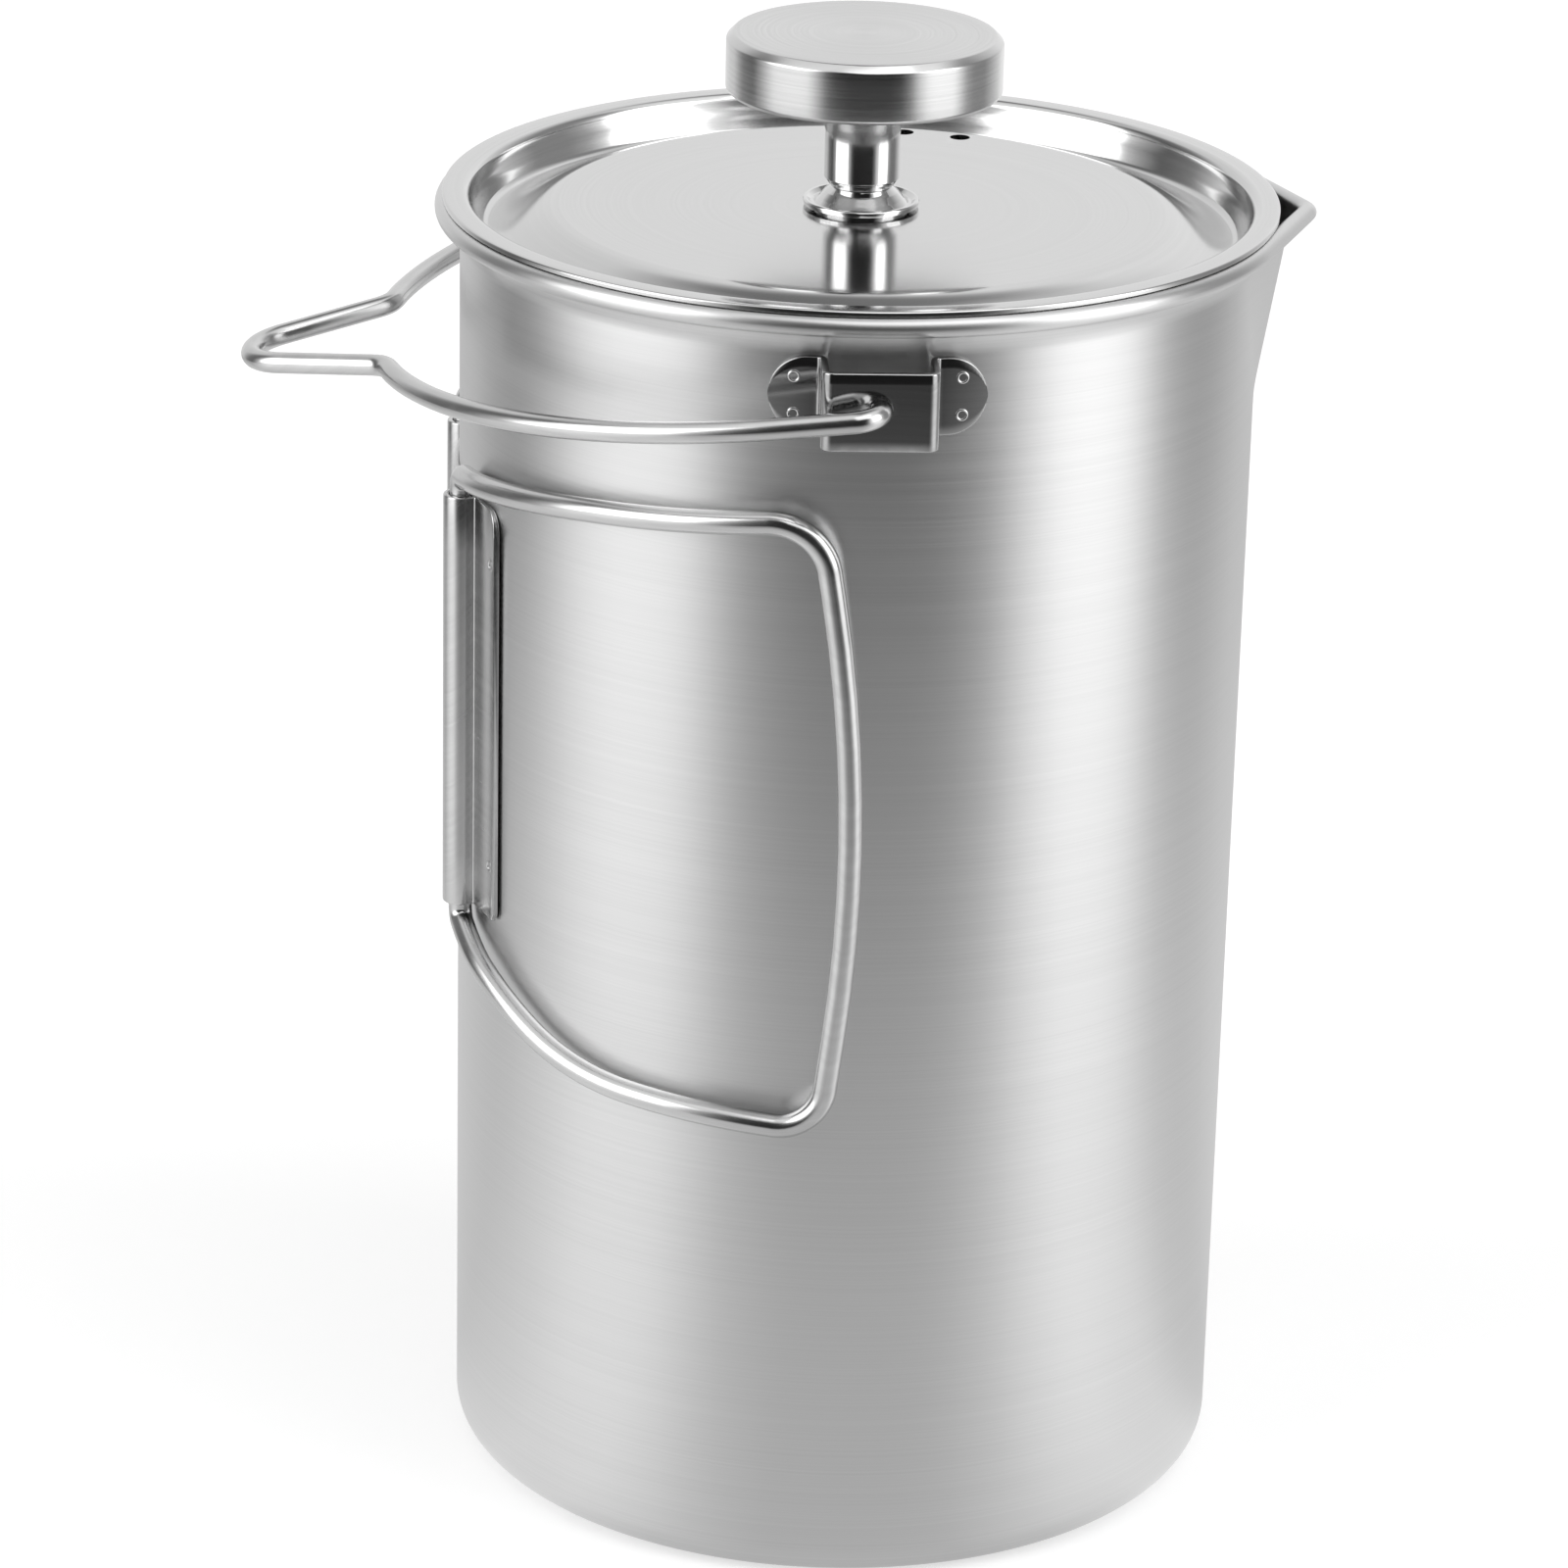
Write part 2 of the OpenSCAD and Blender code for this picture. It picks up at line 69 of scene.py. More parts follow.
def arcPoints(x, y, radius, first, last, count):
    angles = [radians(first + (last - first) * i / count) for i in range(count + 1)]
    return [(x + radius * cos(a), y + radius * sin(a)) for a in angles]


def rounded(corners, step):  # corners are (x, y, bend radius), ends stay sharp; step is in degrees
    points = []
    for i, (x, y, radius) in enumerate(corners):
        here = Vector((x, y))
        if radius == 0 or i in (0, len(corners) - 1):
            points.append(here)
            continue
        toBefore = Vector(corners[i - 1][:2]) - here
        toAfter = Vector(corners[i + 1][:2]) - here
        a = toBefore.normalized()
        b = toAfter.normalized()
        half = acos(max(-1, min(1, a.dot(b)))) / 2
        turn = pi - 2 * half
        if turn < 0.001:
            points.append(here)
            continue
        middle = here + (a + b).normalized() * radius / sin(half)
        start = here + a * radius / tan(half) - middle
        end = here + b * radius / tan(half) - middle
        count = max(2, ceil(turn / radians(step)))
        for k in range(count + 1):
            t = k / count
            points.append(middle + (start * sin((1 - t) * turn) + end * sin(t * turn)) / sin(turn))
    return [(p[0], p[1]) for p in points]


def resampled(points, longest):  # adds points so that no stretch is longer than this
    result = []
    for p, q in zip(points, points[1:]):
        count = max(1, ceil(sqrt(sum((b - a) ** 2 for a, b in zip(p, q))) / longest))
        result += [tuple(a + (b - a) * k / count for a, b in zip(p, q)) for k in range(count)]
    return result + [tuple(points[-1])]


def finished(name, mesh):
    bmesh.ops.remove_doubles(mesh, verts=mesh.verts, dist=0.0005)
    bmesh.ops.recalc_face_normals(mesh, faces=mesh.faces)
    data = bpy.data.meshes.new(name)
    mesh.to_mesh(data)
    mesh.free()
    data.transform(Matrix.Scale(mm, 4))
    data.shade_smooth()
    data.set_sharp_from_angle(angle=radians(crease))
    return linked(name, data)


def turned(name, outline, turns=144, loop=True, reach=None, angles=None):
    # outline is (radius, z) round the section; reach adds to a radius by angle and height
    outline = resampled(outline + [outline[0]] if loop else outline, 2.5)
    if loop:
        outline.pop()
    angles = angles or [2 * pi * k / turns for k in range(turns)]
    rows = len(outline)
    mesh = bmesh.new()
    grain = mesh.loops.layers.uv.new("grain")
    run = [0]
    for i in range(rows):
        run.append(run[-1] + (Vector(outline[(i + 1) % rows]) - Vector(outline[i])).length / 100)
    rings = []
    for a in angles:
        ring = []
        for radius, z in outline:
            r = radius + (reach(a, radius, z) if reach else 0)
            ring.append(mesh.verts.new((r * cos(a), r * sin(a), z)))
        rings.append(ring)
    count = len(angles)
    around = [a / (2 * pi) for a in angles] + [angles[0] / (2 * pi) + 1]
    for k in range(count):
        for i in range(rows if loop else rows - 1):
            marks = [(k, i), (k + 1, i), (k + 1, i + 1), (k, i + 1)]
            face = mesh.faces.new([rings[a % count][b % rows] for a, b in marks])
            for edge, (a, b) in zip(face.loops, marks):
                edge[grain].uv = (around[a], run[b])
    return finished(name, mesh)


def ribbon(name, plan, thickness, centreZ, reachUp, reachDown=None):
    # sheet strip along a plan path; its reach up and down follows the distance to the nearer end
    edge = 0.22  # how round the long edges are
    path = [Vector(p) for p in plan]
    last = len(path) - 1
    run = [0]
    for p, q in zip(path, path[1:]):
        run.append(run[-1] + (q - p).length)
    mesh = bmesh.new()
    grain = mesh.loops.layers.uv.new("grain")
    rings = []
    for i, p in enumerate(path):
        along = (path[min(i + 1, last)] - path[max(i - 1, 0)]).normalized()
        out = Vector((along.y, -along.x))
        tall = reachUp(min(run[i], run[-1] - run[i]))
        deep = (reachDown or reachUp)(min(run[i], run[-1] - run[i]))
        e = min(edge, tall * 0.45)
        section = []
        for u, z, first in ((1, tall - e, 0), (-1, tall - e, 90), (-1, e - deep, 180), (1, e - deep, 270)):
            section += arcPoints(u * (thickness / 2 - e), z, e, first, first + 90, 3)
            if first in (90, 270):  # rows across the flat faces
                other = e - deep if first == 90 else tall - e
                section += [(u * thickness / 2, z + (other - z) * k / 8) for k in range(1, 8)]
        rings.append([mesh.verts.new((p.x + out.x * n, p.y + out.y * n, centreZ + z)) for n, z in section])
    size = len(rings[0])
    for i in range(last):
        for k in range(size):
            marks = [(i, k), (i + 1, k), (i + 1, k + 1), (i, k + 1)]
            face = mesh.faces.new([rings[a][b % size] for a, b in marks])
            for corner, (a, b) in zip(face.loops, marks):
                corner[grain].uv = (run[a] / 100, rings[a][b % size].co.z / 100)
    mesh.faces.new(reversed(rings[0]))
    mesh.faces.new(rings[last])
    return finished(name, mesh)


def lineHost(name, points):  # a bare polyline for a node tree to work on
    data = bpy.data.meshes.new(name)
    data.from_pydata([Vector(p) * mm for p in points], [(i, i + 1) for i in range(len(points) - 1)], [])
    return linked(name, data)


def drilled(piece, axis, centre, radius, depth):  # one round hole, cut with a boolean
    mesh = bmesh.new()
    bmesh.ops.create_cone(mesh, cap_ends=True, segments=48, radius1=radius, radius2=radius, depth=depth)
    cutter = finished("cutter", mesh)
    cutter.data.transform(Vector((0, 0, 1)).rotation_difference(Vector(axis)).to_matrix().to_4x4())
    cutter.data.transform(Matrix.Translation(Vector(centre) * mm))
    change = piece.modifiers.new("hole", "BOOLEAN")
    change.operation = "DIFFERENCE"
    change.object = cutter
    change.solver = "EXACT"
    bpy.context.view_layer.update()
    data = bpy.data.meshes.new_from_object(piece.evaluated_get(bpy.context.evaluated_depsgraph_get()))
    piece.modifiers.remove(change)
    piece.data = data
    data.set_sharp_from_angle(angle=radians(crease))
    bpy.data.objects.remove(cutter)
    return piece


def newTree(name, inputs):
    tree = bpy.data.node_groups.new(name, "GeometryNodeTree")
    tree.interface.new_socket("Geometry", in_out="INPUT", socket_type="NodeSocketGeometry")
    for label, kind, value in inputs:
        socket = tree.interface.new_socket(label, in_out="INPUT", socket_type="NodeSocket" + kind)
        if value is not None:
            socket.default_value = value
    tree.interface.new_socket("Geometry", in_out="OUTPUT", socket_type="NodeSocketGeometry")
    return tree, tree.nodes.new("NodeGroupInput"), tree.nodes.new("NodeGroupOutput")


def add(tree, kind, settings=None, **values):
    node = tree.nodes.new(kind)
    for key, value in (settings or {}).items():
        setattr(node, key, value)
    for key, value in values.items():
        index = int(key[1:]) if key[1:].isdigit() else key
        if isinstance(value, bpy.types.NodeSocket):
            tree.links.new(value, node.inputs[index])
        else:
            node.inputs[index].default_value = value
    return node


def maths(tree, operation, *values):
    inputs = {f"i{i}": value for i, value in enumerate(values)}
    return add(tree, "ShaderNodeMath", {"operation": operation}, **inputs).outputs[0]


def ranged(tree, value, low, high=1, first=0, last=1, curve="LINEAR"):  # low to high becomes first to last
    ends = {"From Min": low, "From Max": high, "To Min": first, "To Max": last}
    return add(tree, "ShaderNodeMapRange", {"interpolation_type": curve}, Value=value, **ends).outputs[0]


def circle(tree, radius, sides):
    return add(tree, "GeometryNodeCurvePrimitiveCircle", Radius=radius, Resolution=sides).outputs[0]


def tubeAlong(tree, line, ring, caps=False):
    ends = {"Profile Curve": ring, "Fill Caps": caps}
    return add(tree, "GeometryNodeCurveToMesh", i0=line, **ends).outputs[0]


def roundPlace(tree, angle, radius, z):  # the point at an angle and a radius round the axis
    x = maths(tree, "MULTIPLY", maths(tree, "COSINE", angle), radius)
    y = maths(tree, "MULTIPLY", maths(tree, "SINE", angle), radius)
    return add(tree, "ShaderNodeCombineXYZ", i0=x, i1=y, i2=z).outputs[0]


def closeTree(tree, given, result, geometry):
    real = add(tree, "GeometryNodeRealizeInstances", i0=geometry)
    painted = add(tree, "GeometryNodeSetMaterial", i0=real.outputs[0])
    tree.links.new(given.outputs["Material"], painted.inputs["Material"])
    tree.links.new(painted.outputs[0], result.inputs[0])


def grown(host, tree, values, name, sharp=crease):  # runs a tree on a host and keeps the plain mesh
    sockets = {s.name: s.identifier for s in tree.interface.items_tree if s.in_out == "INPUT"}
    change = host.modifiers.new("grow", "NODES")
    change.node_group = tree
    for label, value in values.items():
        change[sockets[label]] = value
    bpy.context.view_layer.update()
    data = bpy.data.meshes.new_from_object(host.evaluated_get(bpy.context.evaluated_depsgraph_get()))
    data.name = name
    host.modifiers.remove(change)
    bpy.data.objects.remove(host)
    data.shade_smooth()
    data.set_sharp_from_angle(angle=radians(sharp))
    return linked(name, data)


def makeWireTree():  # round wire along a polyline
    tree, given, result = newTree("Round Wire", [("Wire Radius", "Float", 0.001), ("Sides", "Int", 16),
                                                 ("Material", "Material", None)])
    line = add(tree, "GeometryNodeMeshToCurve", i0=given.outputs["Geometry"]).outputs[0]
    ring = circle(tree, given.outputs["Wire Radius"], given.outputs["Sides"])
    closeTree(tree, given, result, tubeAlong(tree, line, ring, True))
    return tree


def makeHoleTree():  # cuts a run of round holes on a ring round the axis
    tree, given, result = newTree("Ring Of Holes", [
        ("Count", "Int", 8), ("Ring Radius", "Float", 0.02), ("Hole Radius", "Float", 0.002),
        ("First Angle", "Float", 0), ("Step Angle", "Float", 0.5), ("Height", "Float", 0),
        ("Depth", "Float", 0.01), ("Material", "Material", None)])
    asked = given.outputs
    points = add(tree, "GeometryNodePoints", Count=asked["Count"])
    number = add(tree, "GeometryNodeInputIndex").outputs[0]
    angle = maths(tree, "MULTIPLY_ADD", number, asked["Step Angle"], asked["First Angle"])
    place = roundPlace(tree, angle, asked["Ring Radius"], asked["Height"])
    moved = add(tree, "GeometryNodeSetPosition", i0=points.outputs[0], Position=place)
    drill = add(tree, "GeometryNodeMeshCylinder", Vertices=28, Radius=asked["Hole Radius"],
                Depth=asked["Depth"])
    drills = add(tree, "GeometryNodeInstanceOnPoints", i0=moved.outputs[0], Instance=drill.outputs[0])
    solid = add(tree, "GeometryNodeRealizeInstances", i0=drills.outputs[0])
    cut = add(tree, "GeometryNodeMeshBoolean", {"operation": "DIFFERENCE", "solver": "EXACT"},
              i0=asked["Geometry"], i1=solid.outputs[0])
    closeTree(tree, given, result, cut.outputs[0])
    return tree


def makeHelixTree():  # a coil spring laid in a ring
    tree, given, result = newTree("Ring Spring", [
        ("Ring Radius", "Float", 0.04), ("Coil Radius", "Float", 0.0015), ("Wire Radius", "Float", 0.0003),
        ("Coils", "Int", 120), ("Height", "Float", 0), ("Material", "Material", None)])
    asked = given.outputs
    pointsPerCoil = 10
    total = maths(tree, "MULTIPLY", asked["Coils"], pointsPerCoil)
    number = add(tree, "GeometryNodeInputIndex").outputs[0]
    turn = maths(tree, "MULTIPLY", number, 2 * pi / pointsPerCoil)
    angle = maths(tree, "MULTIPLY", maths(tree, "DIVIDE", number, total), 2 * pi)
    out = maths(tree, "COSINE", turn)
    up = maths(tree, "SINE", turn)
    radius = maths(tree, "MULTIPLY_ADD", out, asked["Coil Radius"], asked["Ring Radius"])
    z = maths(tree, "MULTIPLY_ADD", up, asked["Coil Radius"], asked["Height"])
    place = roundPlace(tree, angle, radius, z)
    coil = add(tree, "GeometryNodeSetPosition", i0=circle(tree, 1, total), Position=place).outputs[0]
    closeTree(tree, given, result, tubeAlong(tree, coil, circle(tree, asked["Wire Radius"], 6)))
    return tree


def makeWeldTree():  # small ring-shaped spot welds, each facing away from the axis
    tree, given, result = newTree("Spot Welds", [
        ("Ring Radius", "Float", 0.0007), ("Ridge", "Float", 0.00012), ("Material", "Material", None)])
    spot = add(tree, "GeometryNodeInputPosition").outputs[0]
    flat = add(tree, "ShaderNodeVectorMath", {"operation": "MULTIPLY"}, i0=spot, i1=(1, 1, 0))
    aim = add(tree, "FunctionNodeAlignRotationToVector", {"axis": "Z"}, Vector=flat.outputs[0])
    ring = circle(tree, given.outputs["Ring Radius"], 24)
    tube = tubeAlong(tree, ring, circle(tree, given.outputs["Ridge"], 8))
    rings = add(tree, "GeometryNodeInstanceOnPoints", i0=given.outputs["Geometry"], Instance=tube,
                Rotation=aim.outputs[0])
    closeTree(tree, given, result, rings.outputs[0])
    return tree


wireTree = makeWireTree()
holeTree = makeHoleTree()
helixTree = makeHelixTree()
weldTree = makeWeldTree()
print("node trees made")


def shaderGroup(name, inputs, outputs):
    group = bpy.data.node_groups.new(name, "ShaderNodeTree")
    for label, value in inputs:
        group.interface.new_socket(label, in_out="INPUT", socket_type="NodeSocketFloat").default_value = value
    for label in outputs:
        group.interface.new_socket(label, in_out="OUTPUT", socket_type="NodeSocketFloat")
    return group, group.nodes.new("NodeGroupInput"), group.nodes.new("NodeGroupOutput")


def makeGrainGroup():  # brush lines that run round the axis, on walls and on flat faces alike
    group, given, result = shaderGroup("Brush Grain", [("Along", 20), ("Across", 2200)], ["Streak", "Band"])
    place = add(group, "ShaderNodeTexCoord").outputs["Object"]
    x, y, z = add(group, "ShaderNodeSeparateXYZ", i0=place).outputs
    radius = maths(group, "SQRT", maths(group, "MULTIPLY_ADD", y, y, maths(group, "MULTIPLY", x, x)))
    fineX = maths(group, "MULTIPLY", x, given.outputs["Along"])
    fineY = maths(group, "MULTIPLY", y, given.outputs["Along"])
    fineZ = maths(group, "MULTIPLY", maths(group, "ADD", radius, z), given.outputs["Across"])
    fine = add(group, "ShaderNodeCombineXYZ", i0=fineX, i1=fineY, i2=fineZ).outputs[0]
    streak = add(group, "ShaderNodeTexNoise", Vector=fine, Scale=1, Detail=3, Roughness=0.6)
    broad = add(group, "ShaderNodeVectorMath", {"operation": "MULTIPLY"}, i0=fine, i1=(0.35, 0.35, 0.12))
    band = add(group, "ShaderNodeTexNoise", Vector=broad.outputs[0], Scale=1, Detail=2, Roughness=0.5)
    group.links.new(streak.outputs[0], result.inputs["Streak"])
    group.links.new(band.outputs[0], result.inputs["Band"])
    return group


def makeHandlingGroup():  # soft smudges and a few fine scratches from use
    group, given, result = shaderGroup("Handling Marks", [("Smudge Scale", 30), ("Scratch Scale", 400)],
                                       ["Smudge", "Scratch"])
    place = add(group, "ShaderNodeTexCoord").outputs["Object"]
    smudge = add(group, "ShaderNodeTexNoise", Vector=place, Scale=given.outputs["Smudge Scale"], Detail=4,
                 Roughness=0.55, Distortion=0.4)
    slant = add(group, "ShaderNodeMapping", Vector=place, Rotation=(0.5, 0.35, 0.7), Scale=(0.06, 1, 1))
    scratch = add(group, "ShaderNodeTexNoise", Vector=slant.outputs[0], Scale=given.outputs["Scratch Scale"],
                  Detail=2)
    soft = ranged(group, smudge.outputs[0], 0.42, 0.72, curve="SMOOTHSTEP")
    group.links.new(soft, result.inputs["Smudge"])
    group.links.new(ranged(group, scratch.outputs[0], 0.62, 0.72), result.inputs["Scratch"])
    return group


def makeEdgeWearAndHighlightGroup():  # lighter edges where the surface turns sharply outwards: partly bright wear, partly a painted highlight
    group, given, result = shaderGroup("Edge Wear And Highlight", [("Reach", 0.08)], ["Edge"])
    flat = 0.52  # the pointiness of a face that is nearly level
    shape = add(group, "ShaderNodeNewGeometry").outputs["Pointiness"]
    place = add(group, "ShaderNodeTexCoord").outputs["Object"]
    broken = add(group, "ShaderNodeTexNoise", Vector=place, Scale=600, Detail=2).outputs[0]
    sharp = ranged(group, shape, flat, maths(group, "ADD", flat, given.outputs["Reach"]))
    group.links.new(maths(group, "MULTIPLY", sharp, broken), result.inputs["Edge"])
    return group


def makeWeaveGroup():  # plain woven wire, over and under, with painted shade in the gaps between the wires
    group, given, result = shaderGroup("Wire Weave", [("Threads", 2200)], ["Height", "Gap Shade"])
    place = add(group, "ShaderNodeTexCoord").outputs["Object"]
    scaled = add(group, "ShaderNodeVectorMath", {"operation": "SCALE"}, i0=place,
                 Scale=given.outputs["Threads"]).outputs[0]
    x, y = add(group, "ShaderNodeSeparateXYZ", i0=scaled).outputs[:2]
    product = maths(group, "MULTIPLY", maths(group, "SINE", x), maths(group, "SINE", y))
    group.links.new(ranged(group, product, -1), result.inputs["Height"])
    group.links.new(ranged(group, maths(group, "ABSOLUTE", product), 0, 0.25), result.inputs["Gap Shade"])
    return group


grainGroup = makeGrainGroup()
handlingGroup = makeHandlingGroup()
edgeWearAndHighlightGroup = makeEdgeWearAndHighlightGroup()
weaveGroup = makeWeaveGroup()

# dark and light are the steel's two greys, rough its two roughnesses, lines the height of the grain in mm,
# and edge how much the sharp outward edges are lightened, partly as wear and partly as a painted highlight
finishes = {
    "potSteel": {"dark": 0.64, "light": 0.70, "rough": (0.3, 0.36), "aniso": 0.6, "along": 7,
                 "across": 4200, "lines": 0.001, "smudge": 0.02, "scratch": 0.004, "edge": 0.2},
    "lidSteel": {"dark": 0.64, "light": 0.69, "rough": (0.11, 0.15), "aniso": 0.3, "along": 9,
                 "across": 3600, "lines": 0.0005, "smudge": 0.02, "scratch": 0.004, "edge": 0.2},
    "knobSteel": {"dark": 0.58, "light": 0.70, "rough": (0.15, 0.22), "aniso": 0.6, "along": 30,
                  "across": 3600, "lines": 0.0012, "smudge": 0.02, "scratch": 0.01, "edge": 0.3},
    "brightSteel": {"dark": 0.70, "light": 0.76, "rough": (0.05, 0.09), "aniso": 0, "along": 60,
                    "across": 900, "lines": 0.0002, "smudge": 0.03, "scratch": 0.02, "edge": 0.1},
    "wireSteel": {"dark": 0.56, "light": 0.66, "rough": (0.15, 0.21), "aniso": 0, "along": 90,
                  "across": 700, "lines": 0.0006, "smudge": 0.04, "scratch": 0.03, "edge": 0.1},
    # the brackets' greys are darker than the other steels, partly a duller steel and partly painted shade for
    # the dark inside of the box; their strong edge lift is partly a painted highlight on the bright edges
    "bracketSteel": {"dark": 0.36, "light": 0.44, "rough": (0.07, 0.11), "aniso": 0, "along": 50,
                     "across": 1600, "lines": 0.0004, "smudge": 0.04, "scratch": 0.03, "edge": 1.0},
    "hingeSteel": {"dark": 0.56, "light": 0.64, "rough": (0.16, 0.24), "aniso": 0.3, "along": 20,
                   "across": 2000, "lines": 0.001, "smudge": 0.04, "scratch": 0.03, "edge": 0.6},
    "filterSteel": {"dark": 0.56, "light": 0.66, "rough": (0.2, 0.3), "aniso": 0.3, "along": 40,
                    "across": 2000, "lines": 0.001, "smudge": 0.05, "scratch": 0.03, "edge": 0.6},
}


def newFinish(name):
    finish = bpy.data.materials.new(name)
    finish.use_nodes = True
    finish.node_tree.nodes.clear()
    return finish, finish.node_tree


def greyTone(tree, level):
    return add(tree, "ShaderNodeCombineColor", i0=level, i1=level, i2=level).outputs[0]


# how much of the broad bands joins the fine streaks, where their mask begins and ends, and what edge wear and
# the painted edge highlight add
grainMix = {"bandShare": 0.3, "low": 0.35, "high": 0.95, "edgeLift": 0.3}


def steelFinish(name, look):
    finish, tree = newFinish(name)
    surface = add(tree, "ShaderNodeBsdfPrincipled", Metallic=1)
    surface.inputs["Anisotropic"].default_value = look["aniso"]
    surface.inputs["Anisotropic Rotation"].default_value = 0.25
    grain = add(tree, "ShaderNodeGroup", {"node_tree": grainGroup}, Along=look["along"],
                Across=look["across"])
    marks = add(tree, "ShaderNodeGroup", {"node_tree": handlingGroup})
    edgeWearAndHighlight = add(tree, "ShaderNodeGroup", {"node_tree": edgeWearAndHighlightGroup})
    both = maths(tree, "MULTIPLY_ADD", grain.outputs["Band"], grainMix["bandShare"], grain.outputs["Streak"])
    mask = ranged(tree, both, grainMix["low"], grainMix["high"])
    tone = ranged(tree, mask, 0, 1, look["dark"], look["light"])
    # sharp outward edges lighten the colour: partly wear, partly a painted highlight
    wornAndHighlit = maths(tree, "MULTIPLY_ADD", edgeWearAndHighlight.outputs["Edge"], look["edge"] * grainMix["edgeLift"], tone)
    rough = ranged(tree, mask, 0, 1, *look["rough"])
    smudged = maths(tree, "MULTIPLY_ADD", marks.outputs["Smudge"], look["smudge"], rough)
    scratched = maths(tree, "MULTIPLY_ADD", marks.outputs["Scratch"], look["scratch"], smudged)
    relief = add(tree, "ShaderNodeBump", Height=mask, Strength=1, Distance=look["lines"] * mm)
    tree.links.new(greyTone(tree, wornAndHighlit), surface.inputs["Base Color"])
    tree.links.new(scratched, surface.inputs["Roughness"])
    tree.links.new(relief.outputs[0], surface.inputs["Normal"])
    if look["aniso"] > 0:
        lay = add(tree, "ShaderNodeTangent", {"direction_type": "UV_MAP", "uv_map": "grain"})
        tree.links.new(lay.outputs[0], surface.inputs["Tangent"])
    add(tree, "ShaderNodeOutputMaterial", i0=surface.outputs[0])
    return finish


# dark is the painted shade in the gaps of the weave, light the wires' own grey
screenLook = {"threads": 5200, "dark": 0.16, "light": 0.66, "rough": 0.32, "depth": 0.05}


def screenFinish(name):
    finish, tree = newFinish(name)
    surface = add(tree, "ShaderNodeBsdfPrincipled", Metallic=1, Roughness=screenLook["rough"])
    weave = add(tree, "ShaderNodeGroup", {"node_tree": weaveGroup}, Threads=screenLook["threads"])
    # the gaps between the wires are painted dark: painted shade where the openings are
    tone = ranged(tree, weave.outputs["Gap Shade"], 0, 1, screenLook["dark"], screenLook["light"])
    relief = add(tree, "ShaderNodeBump", Height=weave.outputs["Height"], Distance=screenLook["depth"] * mm)
    tree.links.new(greyTone(tree, tone), surface.inputs["Base Color"])
    tree.links.new(relief.outputs[0], surface.inputs["Normal"])
    add(tree, "ShaderNodeOutputMaterial", i0=surface.outputs[0])
    return finish


steel = {name: steelFinish(name, look) for name, look in finishes.items()}
steel["screenSteel"] = screenFinish("screenSteel")
print("finishes made:", len(steel))


def placed(piece, finish, body, slot, *nodes):  # nodes are the CAD nodes that the piece stands for
    piece.data.materials.clear()
    piece.data.materials.append(steel[finish])
    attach(piece, body)
    if nodes:
        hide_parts(*nodes)


pot = {"sheet": 0.8, "baseFillet": 4, "beadRadius": 1.25, "beadOut": 1.9, "flare": 2.8, "lipReach": 4,
       "lipNose": 2.5, "lipDrop": 25, "lipHalf": 25, "lipTurns": 72, "turns": 150, "footRing": 6,
       "footRise": 0.35}
potLow, potHigh = span("pot_body")
beadRing = potHigh.y - pot["beadRadius"]
wallRadius = beadRing - pot["beadOut"]
beadZ = potHigh.z - pot["beadRadius"]
lipFootZ = beadZ - pot["lipDrop"]


def lipBump(angle, reach):  # two tangents of the mouth's ring that meet in a round nose
    nose = pot["lipNose"]
    noseX = beadRing + reach - nose
    side = acos((beadRing - nose) / noseX)
    tip = atan(nose * sin(side) / (noseX + nose * cos(side)))
    a = abs(angle if angle < pi else angle - 2 * pi)
    if a >= side:
        return 0
    if a > tip:
        return beadRing / cos(side - a) - beadRing
    return noseX * cos(a) + sqrt(nose ** 2 - (noseX * sin(a)) ** 2) - beadRing


def mouthReach(angle, radius, z):
    share = max(0, min(1, (z - lipFootZ) / pot["lipDrop"]))
    return lipBump(angle, max(0.01, pot["lipReach"] * share)) if share > 0 else 0


def makePotBody():  # one skin: base, wall, rolled bead with the pouring lip, and back down inside
    inner = wallRadius - pot["sheet"]
    fillet = pot["baseFillet"]
    flareZ = beadZ - pot["flare"]
    levels = [lipFootZ + (flareZ - lipFootZ) * k / 16 for k in range(17)]
    low = potLow.z
    foot = wallRadius - fillet - pot["footRing"]
    outline = [(r, low + pot["footRise"]) for r in (0, foot * 0.5, foot)] + [(foot + 0.8, low)]
    outline += arcPoints(wallRadius - fillet, low + fillet, fillet, -90, 0, 12)
    outline += [(wallRadius, z) for z in (20, 50, 80, 110, 130)]
    outline += [(wallRadius, z) for z in levels]
    outline += arcPoints(beadRing, beadZ, pot["beadRadius"], -120, 190, 20)
    outline += [(inner, z) for z in reversed(levels)]
    outline += [(inner, z) for z in (130, 80, 30)]
    outline += arcPoints(inner - fillet + pot["sheet"], low + fillet, fillet - pot["sheet"], 0, -90, 10)
    outline += [(inner * 0.5, low + pot["sheet"]), (0, low + pot["sheet"])]
    lip = radians(pot["lipHalf"])
    count = pot["lipTurns"]
    angles = [-lip + 2 * lip * k / count for k in range(count)]
    rest = pot["turns"]
    angles += [lip + (2 * pi - 2 * lip) * k / rest for k in range(rest)]
    return turned("potBody", outline, loop=False, reach=mouthReach, angles=angles)


placed(makePotBody(), "potSteel", "pot", "pot_steel", "pot_body")
print("pot body made")

bracket = {"sheet": 0.9, "boxWidth": 13.9, "outerBend": 1.4, "footBend": 0.9, "pinHole": 1.45,
           "pinRise": 0.5, "weldAngle": 11.3, "weldRise": 2.3}


